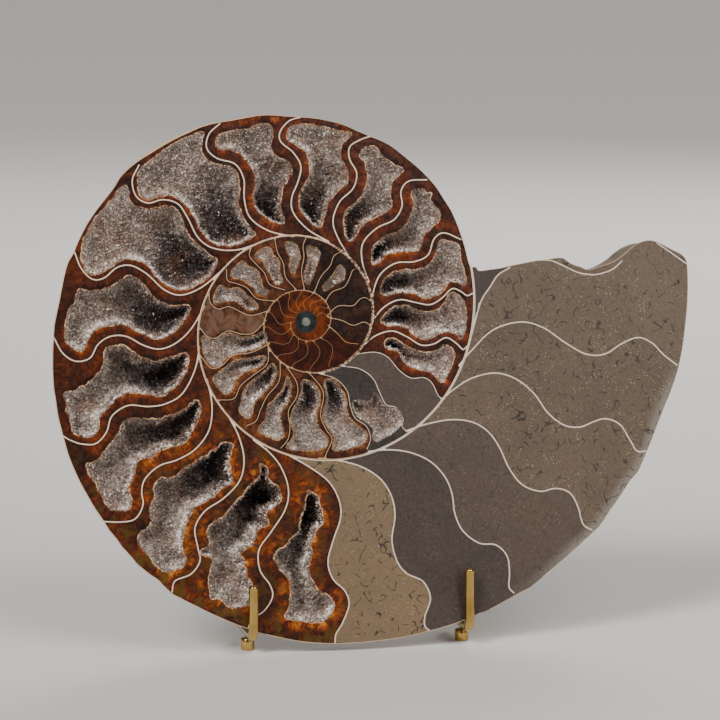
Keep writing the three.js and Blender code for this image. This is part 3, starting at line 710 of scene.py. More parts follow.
@dataclass
class Chamber:
    """The hollow of one open chamber: its mouth and how deep its floor lies under each point."""

    mouth: np.ndarray
    spiral: Spiral
    shell: float = 3.0
    shallowest: float = 1.6
    steepness: float = 3.6
    rise: float = 0.35
    rise_start: float = 0.3
    rise_span: float = 0.45
    widest: float = field(init=False)

    def __post_init__(self) -> None:
        """Measures the largest distance from the mouth's edge to a point inside it."""
        rng = np.random.default_rng(SEED)
        grid = hex_grid(self.mouth.min(0), self.mouth.max(0), 0.8, rng, 0)
        self.widest = nearest(grid[inside(grid, self.mouth)], self.mouth, closed=True).distance.max()

    def depth(self, face: np.ndarray) -> np.ndarray:
        """Depth of the floor: a power curve of the distance from the edge, deepest near the inner wall.

        Args:
            face: points inside the mouth.

        Returns:
            Millimetres under the cut face, nought on the mouth's edge.
        """
        edge = nearest(face, self.mouth, closed=True).distance
        turn = self.spiral.turn(face)
        radius, _ = self.spiral.polar(face)
        full = np.maximum(self.spiral.whorl_height(turn, radius) - self.shell, self.shallowest)
        place = np.clip((self.spiral.across(face, turn) - self.rise_start) / self.rise_span, 0, 1)
        share = 1 - self.rise * place**2 * (3 - 2 * place)
        return full * share * (1 - (1 - np.clip(edge / self.widest, 0, 1)) ** self.steepness)


def normals_of(chamber: Chamber, face: np.ndarray, step: float = 0.05) -> np.ndarray:
    """Upward normals of a chamber's floor: from the depth's change over a small step each way.

    Args:
        chamber: the chamber.
        face: points inside its mouth.
        step: the small step, in millimetres.

    Returns:
        Unit normals across, up and out of the face.
    """
    slope_x = chamber.depth(face + [step, 0]) - chamber.depth(face - [step, 0])
    slope_y = chamber.depth(face + [0, step]) - chamber.depth(face - [0, step])
    normal = np.stack([slope_x, slope_y, np.full(len(face), 2 * step)], axis=1)
    return normal / np.linalg.norm(normal, axis=1, keepdims=True)


def make_piece(name: str, places: np.ndarray, faces: np.ndarray, materials: list[bpy.types.Material],
               smooth: bool) -> bpy.types.Object:
    """Makes a mesh object at the origin from whole arrays.

    Args:
        name: the piece's name.
        places: vertices in the frame, in millimetres.
        faces: rows of three or four vertex indices.
        materials: its material slots in order.
        smooth: whether its faces are shaded smooth.

    Returns:
        The new object, linked to the scene.
    """
    mesh = bpy.data.meshes.new(name)
    mesh.vertices.add(len(places))
    mesh.vertices.foreach_set("co", (places * MM).astype(np.float32).ravel())
    mesh.loops.add(faces.size)
    mesh.loops.foreach_set("vertex_index", faces.astype(np.int32).ravel())
    mesh.polygons.add(len(faces))
    mesh.polygons.foreach_set("loop_start", np.arange(0, faces.size, faces.shape[1], dtype=np.int32))
    mesh.polygons.foreach_set("use_smooth", np.full(len(faces), smooth))
    mesh.update(calc_edges=True)
    for material in materials:
        mesh.materials.append(material)
    piece = bpy.data.objects.new(name, mesh)
    bpy.context.scene.collection.objects.link(piece)
    return piece


def add_attribute(piece: bpy.types.Object, name: str, values: np.ndarray) -> None:
    """Writes one number for each vertex, or for each face corner, on a piece.

    Args:
        piece: the piece.
        name: the mark's name.
        values: one number for each vertex or face corner.
    """
    domain = "POINT" if values.size == len(piece.data.vertices) else "CORNER"
    attribute = piece.data.attributes.new(name, "FLOAT", domain)
    attribute.data.foreach_set("value", values.astype(np.float32).ravel())


def dress(piece: bpy.types.Object, slot: str, *nodes: str) -> bpy.types.Object:
    """Says which body the piece rides on and the CAD nodes it stands for.

    Args:
        piece: the piece.
        slot: the slot's name; not used.
        nodes: the CAD nodes.

    Returns:
        The same piece.
    """
    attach(piece, "root")
    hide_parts(*nodes)
    log.info("%s: %d faces, stands for %s", piece.name, len(piece.data.polygons), ", ".join(nodes))
    return piece


def grid_faces(rows: int, columns: int, wrap: bool = True) -> np.ndarray:
    """Quads that join the rows of a grid of points.

    Args:
        rows: how many rows.
        columns: points in each row.
        wrap: whether a row's last point is joined to its first.

    Returns:
        Rows of four indices.
    """
    span = columns if wrap else columns - 1
    i, j = np.meshgrid(np.arange(rows - 1), np.arange(span), indexing="ij")
    after = (j + 1) % columns
    above, below = i * columns, (i + 1) * columns
    return np.stack([above + j, above + after, below + after, below + j], axis=2).reshape(-1, 4)


def tube(path: np.ndarray, radius: float, sides: int = 24) -> tuple[np.ndarray, np.ndarray]:
    """Carries a circle along a path, square to it, and rounds both ends off.

    The circle's own axes are turned from one station to the next by the least turn. At each end the circle
    shrinks to half along a quarter circle and is closed by a ring of points at its middle.

    Args:
        path: points along the rod's middle, in millimetres.
        radius: the rod's radius.
        sides: points round the circle.

    Returns:
        Vertices and quads.
    """
    length = np.concatenate([[0], np.cumsum(np.linalg.norm(np.diff(path, axis=0), axis=1))])
    ease = radius * 0.5 * (1 - np.cos(np.linspace(0, np.pi / 2, 6)))
    stations = np.unique(np.concatenate([ease, length[(length > ease[-1]) & (length < length[-1] - ease[-1])],
                                         length[-1] - ease]))
    middle = np.stack([np.interp(stations, length, column) for column in path.T], axis=1)
    end_gap = np.minimum(stations, length[-1] - stations) / (0.5 * radius)
    shrink = 0.5 + 0.5 * np.sqrt(np.clip(1 - (1 - np.clip(end_gap, 0, 1)) ** 2, 0, 1))
    tangent = np.gradient(middle, axis=0)
    tangent /= np.linalg.norm(tangent, axis=1, keepdims=True)
    side = np.cross(tangent[0], [0.3, 0.5, 0.8])
    frames = []
    for direction in tangent:
        side = side - direction * (side @ direction)
        side = side / np.linalg.norm(side)
        frames.append(np.stack([side, np.cross(direction, side)]))
    around = np.linspace(0, 2 * np.pi, sides, endpoint=False)
    circle = np.stack([np.cos(around), np.sin(around)], axis=1)
    turned = np.einsum("sk,nkd->nsd", circle, np.array(frames))
    rings = middle[:, None] + radius * shrink[:, None, None] * turned
    rings = np.concatenate([middle[:1, None] + 0 * rings[:1], rings, middle[-1:, None] + 0 * rings[:1]])
    return rings.reshape(-1, 3), grid_faces(len(rings), sides)


def lathe(profile: np.ndarray, centre: np.ndarray, sides: int = 32) -> tuple[np.ndarray, np.ndarray]:
    """Turns a profile of radius and height about an upright axis; its ends lie on the axis.

    Args:
        profile: pairs of radius and height.
        centre: foot of the axis.
        sides: points round the axis.

    Returns:
        Vertices and quads.
    """
    around = np.linspace(0, 2 * np.pi, sides, endpoint=False)
    rings = np.stack([np.outer(profile[:, 0], np.cos(around)), np.outer(profile[:, 0], np.sin(around)),
                      np.repeat(profile[:, 1:2], sides, axis=1)], axis=2)
    return rings.reshape(-1, 3) + centre, grid_faces(len(profile), sides)


def join_parts(parts: list[tuple[np.ndarray, np.ndarray]]) -> tuple[np.ndarray, np.ndarray]:
    """Puts several meshes into one: their vertices one after another, their faces counted on.

    Args:
        parts: vertices and faces of each mesh.

    Returns:
        Vertices and faces of all.
    """
    first = np.cumsum([0] + [len(places) for places, _ in parts])
    faces = [faces + count for (_, faces), count in zip(parts, first)]
    return np.vstack([places for places, _ in parts]), np.vstack(faces)


@dataclass
class Stone:
    """The polished half itself: cut face, chamber hollows, round back and broken end, in one closed mesh."""

    drawing: Drawing
    chambers: list[Chamber]
    face_spacing: float = 0.8
    line_spacing: float = 0.36
    back_spacing: float = 1.1
    crust_thickness: float = 0.9
    rim_steps: tuple[float, ...] = (0.04, 0.16, 0.42, 0.85, 1.5, 2.4, 3.6)
    close_rings: int = 4
    touching: float = 1e-3
    break_rows: int = 9
    break_roughness: float = 0.55
    sharp_degrees: float = 38.0

    def build(self) -> bpy.types.Object:
        """Builds the stone and dresses it.

        Returns:
            The finished piece.
        """
        front, front_faces = self.cut_face()
        back, back_faces = self.round_back()
        strip, strip_faces = self.broken_end()
        places, faces = join_parts([(front, front_faces), (back, back_faces), (strip, strip_faces)])
        zone = np.repeat(list(Zone), [len(front_faces), len(back_faces), len(strip_faces)])
        _, first, same = np.unique(np.round(places / 1e-4).astype(np.int64), axis=0, return_index=True,
                                   return_inverse=True)
        faces = same.ravel()[faces]
        places = places[first]
        whole = (faces[:, 0] != faces[:, 1]) & (faces[:, 1] != faces[:, 2]) & (faces[:, 0] != faces[:, 2])
        return self.finish(places, faces[whole], zone[whole])

    def cut_face(self) -> tuple[np.ndarray, np.ndarray]:
        """The flat face with its hollows: one sheet, sunk in each mouth by the chamber's depth and its crust.

        Returns:
            Vertices across, up and out of the face, and triangles.
        """
        drawing = self.drawing
        rng = np.random.default_rng(SEED)
        low, high = drawing.rim.min(0), drawing.rim.max(0)
        drawn = [drawing.wall, *drawing.septa, *drawing.spokes]
        lines = [(drawing.rim, True), *((line, False) for line in drawn),
                 *((line, False) for line in drawing.edges), *((mouth, True) for mouth in drawing.mouths)]
        fine = hex_grid(low, high, self.line_spacing, rng, 0.12)
        near_line = beside(fine, np.vstack(drawn), 1.2 * self.line_spacing)
        near_mouth = np.flatnonzero(beside(fine, np.vstack(drawing.mouths), self.line_spacing) & ~near_line)
        in_mouth = np.zeros(len(near_mouth), dtype=bool)
        for mouth in drawing.mouths:
            in_mouth |= inside(fine[near_mouth], mouth)
        fine = np.vstack([fine[near_line], fine[near_mouth[in_mouth]]])
        free = hex_grid(low, high, self.face_spacing, rng, 0.12)
        free = np.vstack([free[~beside(free, fine, 0.5 * self.face_spacing)], fine])
        free = free[~beside(free, np.vstack([line for line, _ in lines]), 0.5 * self.line_spacing)]
        free = free[inside(free, drawing.rim)]
        flat, faces = triangulate(free, lines)
        middle = flat[faces].mean(axis=1)
        faces = faces[inside(middle, drawing.rim)]
        sunk = np.zeros(len(flat))
        for chamber in self.chambers:
            within = np.flatnonzero(inside(flat, chamber.mouth))
            edge = nearest(flat[within], chamber.mouth, closed=True).distance
            within, edge = within[edge > self.touching], edge[edge > self.touching]
            lining = self.crust_thickness * np.clip(edge / 0.4, 0, 1)
            sunk[within] = chamber.depth(flat[within]) + lining
        return np.column_stack([flat, -sunk]), faces

    def round_back(self) -> tuple[np.ndarray, np.ndarray]:
        """The shell behind the cut: the same outline, pushed back by the stone's thickness.

        Returns:
            Vertices across, up and out of the face, and triangles.
        """
        drawing = self.drawing
        rng = np.random.default_rng(SEED)
        rim = drawing.rim
        step = np.roll(rim, -1, axis=0) - np.roll(rim, 1, axis=0)
        normal = np.stack([-step[:, 1], step[:, 0]], axis=1) / np.linalg.norm(step, axis=1, keepdims=True)
        rings = []
        for count, inset in enumerate(self.rim_steps):
            ring = (rim + normal * inset)[:: 1 + (count > self.close_rings)]
            fair = nearest(ring, rim, closed=True).distance > 0.9 * inset
            rings.append(ring[fair & inside(ring, rim)])
        free = hex_grid(rim.min(0), rim.max(0), self.back_spacing, rng, 0.1)
        free = free[inside(free, rim)]
        free = free[nearest(free, rim, closed=True).distance > self.rim_steps[-1] + 0.5]
        flat, faces = triangulate(np.vstack([*rings, free]), [(rim, True)])
        faces = faces[inside(flat[faces].mean(axis=1), rim)]
        height = drawing.spiral.thickness(flat)
        at_rim = nearest(flat, rim[~drawing.broken]).distance < self.touching
        height[at_rim] = 0
        return np.column_stack([flat, -height]), faces[:, ::-1]

    def broken_end(self) -> tuple[np.ndarray, np.ndarray]:
        """The rough end wall: straight from the broken rim to the back, pushed in by two waves and grit.

        Returns:
            Vertices across, up and out of the face, and triangles.
        """
        drawing = self.drawing
        index = np.flatnonzero(drawing.broken)
        index = np.concatenate([[index[0] - 1], index, [(index[-1] + 1) % len(drawing.rim)]])
        line = drawing.rim[index]
        height = drawing.spiral.thickness(line)
        height[[0, -1]] = 0
        rows = np.linspace(0, 1, self.break_rows)
        flat = np.repeat(line[None], self.break_rows, axis=0)
        depth = -np.outer(rows, height)
        along = np.concatenate([[0], np.cumsum(np.linalg.norm(np.diff(line, axis=0), axis=1))])
        rng = np.random.default_rng(SEED)
        wave = np.sin(along / 1.7 + 4 * rows[:, None]) + np.sin(along / 0.8 - 7 * rows[:, None])
        push = self.break_roughness * (0.35 * (1 + 0.5 * wave) + rng.uniform(0, 0.8, wave.shape))
        push *= np.sin(np.pi * rows)[:, None] * np.clip(height / 3, 0, 1)
        step = np.gradient(line, axis=0)
        inward = np.stack([-step[:, 1], step[:, 0]], axis=1) / np.linalg.norm(step, axis=1, keepdims=True)
        flat = flat + push[..., None] * inward
        places = np.concatenate([flat, depth[..., None]], axis=2).reshape(-1, 3)
        quads = grid_faces(self.break_rows, len(line), wrap=False)
        faces = np.vstack([quads[:, [0, 2, 1]], quads[:, [0, 3, 2]]])
        return places, faces

    def finish(self, places: np.ndarray, faces: np.ndarray, zone: np.ndarray) -> bpy.types.Object:
        """Makes the mesh, gives each face its material and writes the marks that the materials read.

        Args:
            places: vertices across, up and out of the face.
            faces: triangles.
            zone: which surface each face lies on.

        Returns:
            The finished piece.
        """
        marks = FaceMarks(self.drawing, self.chambers, places, faces, zone)
        materials = [build_finish(kind) for kind in FaceFinish]
        piece = make_piece("ammonite_stone", to_frame(places), faces, materials, smooth=True)
        piece.data.polygons.foreach_set("material_index", marks.finish.astype(np.int32))
        piece.data.set_sharp_from_angle(angle=math.radians(self.sharp_degrees))
        for name, values in marks.values.items():
            add_attribute(piece, name, values)
        return dress(piece, "fossil_stone", "ammonite_half")


class Zone(IntEnum):
    """Which surface of the stone a face lies on, in the order in which they are joined."""

    POLISH = 0
    SHELL = 1
    BREAK = 2


class FaceFinish(IntEnum):
    """The finishes of the stone, in the order of its material slots."""

    AMBER = 0
    BROWN = 1
    CORE = 2
    MUD = 3
    SHELL = 4
    BREAK = 5


# Chambers are counted inwards from the body chamber, 0; these are filled with mudstone, each of its shade
MUD_SHADES = {0: 0.72, 1: 0.66, 2: 0.7, 3: 0.5, 4: 0.3, 5: 1.0, 21: 0.42, 22: 0.05}
POCKET_SHADE = 0.28
LAST_AMBER = 20
# Chambers of the inner whorl whose calcite isn't plain brown: 1 is milky and cloudy, 0 is dark and smoky
CALCITE_SHADES = {29: 1.0, 33: 0.25, 34: 0.0, 35: 0.0, 36: 0.0, 37: 0.0, 38: 0.1}


class FaceMarks:
    """Finish of each face of the stone, and the distances in millimetres that its materials draw with.

    Septa are thinner in the inner whorls, and the wall grows thicker outwards. Lengths along the shell count
    from shell_start, and along a septum from septum_step times its number, so that no two look alike.
    """

    septum_half: tuple[float, float] = (0.15, 0.07)
    wall_half: tuple[float, float] = (0.07, 0.26)
    edge_half: float = 0.14
    spoke_half: float = 0.02
    reach: float = 14.0
    mouth_reach: float = 5.0
    line_reach: float = 2.0
    shell_start: float = 500.0
    septum_step: float = 40.0
    plain: float = 0.5

    def __init__(self, drawing: Drawing, chambers: list[Chamber], places: np.ndarray, faces: np.ndarray,
                 zone: np.ndarray) -> None:
        """Works everything out from each vertex's place on the cut face.

        Args:
            drawing: the lines of the cut face.
            chambers: the open chambers.
            places: vertices across, up and out of the face.
            faces: triangles.
            zone: which surface each face lies on.
        """
        self.drawing = drawing
        flat = places[:, :2]
        self.corners = flat[faces]
        self.middle = self.corners.mean(axis=1)
        self.turn = drawing.spiral.turn(self.middle)
        which, side = self.nearest_septum()
        chamber = np.where(side > 0, which, which + 1)
        corner_flat = self.corners.reshape(-1, 2)
        septum = self.own_septum(corner_flat, np.repeat(which, 3))
        wall = nearest(flat, drawing.wall)
        rim = nearest(flat, drawing.rim, closed=True)
        pit, lit = self.mouths(flat, chambers)
        wall_gap, rim_gap = wall.distance[faces].ravel(), rim.distance[faces].ravel()
        bed = np.minimum(wall_gap, rim_gap)
        on_wall = np.repeat(bed.reshape(-1, 3).mean(1) < septum.distance.reshape(-1, 3).mean(1), 3)
        shell_along = np.where(wall_gap < rim_gap, wall.along[faces].ravel(), rim.along[faces].ravel())
        corner_turn = drawing.spiral.turn(corner_flat)
        face_turn = np.repeat(self.turn, 3)
        corner_turn = face_turn + (corner_turn - face_turn + 180) % 360 - 180
        shade = np.array([MUD_SHADES.get(int(c), CALCITE_SHADES.get(int(c), self.plain)) for c in chamber])
        shade[inside(self.middle, on_face(read_points(POCKET)))] = POCKET_SHADE
        self.values = {
            "line": self.lines(flat, wall.distance),
            "wall": wall.distance,
            "rim": rim.distance / self.rim_width(flat),
            "grow": np.minimum(septum.distance, bed),
            "along": np.where(on_wall, shell_along + self.shell_start,
                              septum.along + self.septum_step * np.repeat(which, 3)),
            "suture": septum.distance * septum.side,
            "pit": pit,
            "lit": lit,
            "turn": corner_turn,
            "place": drawing.spiral.across(corner_flat, corner_turn),
            "shade": np.repeat(shade, 3),
            "border": rim.distance,
            "bead": self.beads(flat),
            "core": np.linalg.norm(flat - drawing.centre, axis=1),
        }
        self.finish = self.choose(chamber, zone)

    def nearest_septum(self) -> tuple[np.ndarray, np.ndarray]:
        """Nearest septum of the same whorl to each face, and the side of it that the face lies on.

        Returns:
            The septum's number and the side, +1 for the newer one.
        """
        best = np.full(len(self.middle), self.reach)
        which, side = np.zeros(len(best), dtype=int), np.ones(len(best))
        for number, line in enumerate(self.drawing.septa):
            same = np.flatnonzero(np.abs(self.turn - self.drawing.septum_turn[number]) < 120)
            found = nearest(self.middle[same], line, reach=self.reach)
            closer = found.distance < best[same]
            chosen = same[closer]
            best[chosen], which[chosen], side[chosen] = found.distance[closer], number, found.side[closer]
        return which, side

    def own_septum(self, corner_flat: np.ndarray, which: np.ndarray) -> Nearest:
        """Nearest place on its own face's septum for every face corner, so that no face mixes two septa.

        Args:
            corner_flat: the face corners.
            which: each one's septum.

        Returns:
            What is nearest on those septa.
        """
        far = 3 * self.reach
        own = Nearest(np.full(len(which), far), np.zeros(len(which)), np.ones(len(which)), np.zeros((0, 2)))
        for number, line in enumerate(self.drawing.septa):
            chosen = np.flatnonzero(which == number)
            found = nearest(corner_flat[chosen], line, reach=far)
            own.distance[chosen], own.along[chosen] = found.distance, found.along
            own.side[chosen] = found.side
        return own

    def lines(self, flat: np.ndarray, wall_gap: np.ndarray) -> np.ndarray:
        """Distance outside the pale shell lines: from each septum, wall or edge, less half its width.

        Args:
            flat: the vertices.
            wall_gap: their distances to the spiral wall.

        Returns:
            Millimetres, less than nought on a line.
        """
        newest, oldest = self.septum_half
        best = np.full(len(flat), self.reach)
        for number, line in enumerate(self.drawing.septa):
            half = newest if number < LAST_AMBER else oldest
            best = np.minimum(best, nearest(flat, line, reach=self.line_reach).distance - half)
        turn = self.drawing.spiral.turn(flat)
        inner, outer = self.wall_half
        growth = np.clip((turn - 540) / 540, 0, 1)
        best = np.minimum(best, wall_gap - (inner + (outer - inner) * growth**1.5))
        for half, lines in ((self.edge_half, self.drawing.edges), (self.spoke_half, self.drawing.spokes)):
            for line in lines:
                best = np.minimum(best, nearest(flat, line, reach=self.line_reach).distance - half)
        return best

    def beads(self, flat: np.ndarray) -> np.ndarray:
        """Where the wall is beaded: on the right, round the inner whorls.

        Args:
            flat: the vertices.

        Returns:
            1 on the beaded stretch, 0 off it.
        """
        radius, angle = self.drawing.spiral.polar(flat)
        angle = (angle + 180) % 360 - 180
        near = np.clip(2 - np.abs(radius - wall_radius(720 + angle)) / 3, 0, 1)
        return near * np.clip((75 - np.abs(angle)) / 10, 0, 1)

    def rim_width(self, flat: np.ndarray) -> np.ndarray:
        """Width of the pale shell along the rim: thin, and wide where it was cut aslant at the upper left.

        Args:
            flat: the vertices.

        Returns:
            Millimetres.
        """
        _, angle = self.drawing.spiral.polar(flat)
        return np.interp(angle, (20, 86, 92, 114, 122, 132, 138, 144, 200, 360),
                         (0.12, 0.14, 0.25, 0.35, 0.55, 0.8, 0.5, 0.2, 0.24, 0.12))

    def mouths(self, flat: np.ndarray, chambers: list[Chamber]) -> tuple[np.ndarray, np.ndarray]:
        """Distance to the nearest chamber's mouth, and which way that mouth's edge looks.

        Args:
            flat: the vertices.
            chambers: the open chambers.

        Returns:
            The distances, and +1 under a chamber to -1 above it.
        """
        pit, lit = np.full(len(flat), self.mouth_reach), np.zeros(len(flat))
        for chamber in chambers:
            found = nearest(flat, chamber.mouth, closed=True, reach=self.mouth_reach)
            closer = found.distance < pit
            pit[closer] = found.distance[closer]
            lit[closer] = self.drawing.glow(found, flat)[closer]
        return pit, lit

    def choose(self, chamber: np.ndarray, zone: np.ndarray) -> np.ndarray:
        """Finish of each face from its chamber, its turn and its zone.

        Args:
            chamber: each face's chamber.
            zone: its surface.

        Returns:
            The material slot of each face.
        """
        finish = np.where(chamber > LAST_AMBER, FaceFinish.BROWN, FaceFinish.AMBER)
        finish[np.isin(chamber, list(MUD_SHADES))] = FaceFinish.MUD
        finish[self.turn < CORE_TURN] = FaceFinish.CORE
        finish[zone == Zone.SHELL] = FaceFinish.SHELL
        finish[zone == Zone.BREAK] = FaceFinish.BREAK
        return finish


@dataclass
class Crust:
    """The lining of small calcite crystals in one open chamber: a thin closed shell under crystals."""

    chamber: Chamber
    drawing: Drawing
    number: int
    spacing: float = 0.8
    thickness: float = 0.5
    lift: float = 0.02
    # Reach in millimetres of the painted glint, a painted highlight on the crystals inside the lower rims
    painted_glint: float = 2.6
    shell_tone: float = 0.3
    large_crystals: tuple[float, float] = (0.44, 0.3)
    small_crystals: tuple[float, float] = (0.36, 0.24)
    stir: float = 0.38
    spread: float = 0.28

    @property
    def large(self) -> bool:
        """Whether the chamber is one of the last whorl's, with larger crystals."""
        return self.number <= OUTER_MOUTHS

    def build(self, material: bpy.types.Material) -> bpy.types.Object:
        """Builds the crust and dresses it.

        Args:
            material: the crystals' material.

        Returns:
            The finished piece.
        """
        rng = np.random.default_rng(SEED + self.number)
        shell, shell_faces, shell_tone = self.shell(rng)
        gems, gem_faces, gem_tone, gem_glint = self.crystals(rng)
        places, faces = join_parts([(shell, shell_faces), (gems, gem_faces)])
        piece = make_piece(f"druzy_{self.number:02d}", to_frame(places), faces, [material], smooth=False)
        add_attribute(piece, "tone", np.concatenate([shell_tone, gem_tone]))
        add_attribute(piece, "sunk", np.clip(-places[:, 2] / 8, 0, 1))
        spiral = self.drawing.spiral
        add_attribute(piece, "place", spiral.across(places[:, :2], spiral.turn(places[:, :2])))
        add_attribute(piece, "white", np.concatenate([np.zeros(len(shell)), gem_glint]))
        return dress(piece, "druzy_crystal", f"crystal_crust_{self.number:02d}")

    def shell(self, rng: np.random.Generator) -> tuple[np.ndarray, np.ndarray, np.ndarray]:
        """The closed shell: the chamber's floor and the same sheet a little deeper, joined along the mouth.

        Args:
            rng: the random source.

        Returns:
            Vertices, triangles and a tone for each vertex.
        """
        mouth = self.chamber.mouth
        free = hex_grid(mouth.min(0), mouth.max(0), self.spacing, rng, 0.2)
        free = free[inside(free, mouth) & ~beside(free, mouth, 0.5 * self.spacing)]
        flat, faces = triangulate(free, [(mouth, True)])
        faces = faces[inside(flat[faces].mean(axis=1), mouth)]
        edge = nearest(flat, mouth, closed=True).distance
        edge[edge < 1e-3] = 0
        depth = self.chamber.depth(flat) * (edge > 0) + self.lift
        back = depth + self.thickness * np.clip(edge / 0.5, 0, 1)
        shared = edge == 0
        below = np.where(shared, np.arange(len(flat)), np.arange(len(flat)) + len(flat))
        places = np.vstack([np.column_stack([flat, -depth]), np.column_stack([flat, -back])])
        both = np.vstack([faces, below[faces[:, ::-1]]])
        used, renumbered = np.unique(both, return_inverse=True)
        return places[used], renumbered.reshape(-1, 3), np.full(len(used), self.shell_tone)

    def crystals(self, rng: np.random.Generator) -> tuple[np.ndarray, np.ndarray, np.ndarray, np.ndarray]:
        """Pointed six-sided calcite crystals, closer set on steep walls, each stirred off the floor's normal.

        A crystal is a zigzag ring of six points between an upper and a lower tip, smaller where the floor is
        shallow. What would stand above the cut face is ground off level with it.

        Args:
            rng: the random source.

        Returns:
            Vertices, triangles, and for each vertex a tone and its share of the painted glint: a painted
            highlight that whitens the crystals just inside the lower rims, which face the light.
        """
        mouth = self.chamber.mouth
        spacing, size = self.large_crystals if self.large else self.small_crystals
        flat = hex_grid(mouth.min(0), mouth.max(0), spacing, rng, 0.3)
        flat = flat[inside(flat, mouth)]
        normal = normals_of(self.chamber, flat)
        copies = np.floor(1 / np.maximum(normal[:, 2], 0.25) + rng.random(len(flat))).astype(int)
        flat = np.repeat(flat, copies, axis=0) + rng.uniform(-0.5, 0.5, (copies.sum(), 2)) * spacing
        flat = flat[inside(flat, mouth)]
        normal = normals_of(self.chamber, flat)
        axis = normal + rng.normal(0, self.stir, normal.shape)
        axis /= np.linalg.norm(axis, axis=1, keepdims=True)
        first = np.cross(axis, rng.normal(0, 1, axis.shape))
        first /= np.linalg.norm(first, axis=1, keepdims=True)
        second = np.cross(axis, first)
        around = np.arange(6) * np.pi / 3
        zigzag = np.column_stack([np.cos(around), np.sin(around), 0.14 * (-1) ** np.arange(6)])
        local = np.vstack([[0, 0, 1.5], zigzag, [0, 0, -1.0]])
        depth = self.chamber.depth(flat)
        radius = size * np.exp(rng.normal(0, self.spread, len(flat))) * np.clip(0.3 + depth / 0.9, 0.3, 1)
        scale = np.stack([radius, radius, radius * rng.uniform(0.7, 1.35, len(flat))], axis=1)
        centre = np.column_stack([flat, -depth - self.lift])
        frames = np.stack([first, second, axis], axis=1)
        places = centre[:, None] + np.einsum("kc,nc,ncd->nkd", local, scale, frames)
        places[..., 2] = np.minimum(places[..., 2], -self.lift)
        ring = np.arange(1, 7)
        after = np.roll(ring, -1)
        upper, lower = np.zeros(6, dtype=int), np.full(6, 7)
        template = np.vstack([np.column_stack([upper, ring, after]), np.column_stack([lower, after, ring])])
        faces = (template[None] + 8 * np.arange(len(flat))[:, None, None]).reshape(-1, 3)
        tone = np.repeat(rng.beta(1.6, 1.6, len(flat)), 8)
        edge = nearest(flat, mouth, closed=True)
        # Painted highlight: crystals just inside a mouth's lower rim, which face the light, are painted white
        white = np.clip(-self.drawing.glow(edge, flat), 0, 1) * np.clip(1 - edge.distance / self.painted_glint, 0, 1)
        return places.reshape(-1, 3), faces, tone, np.repeat(white, 8)


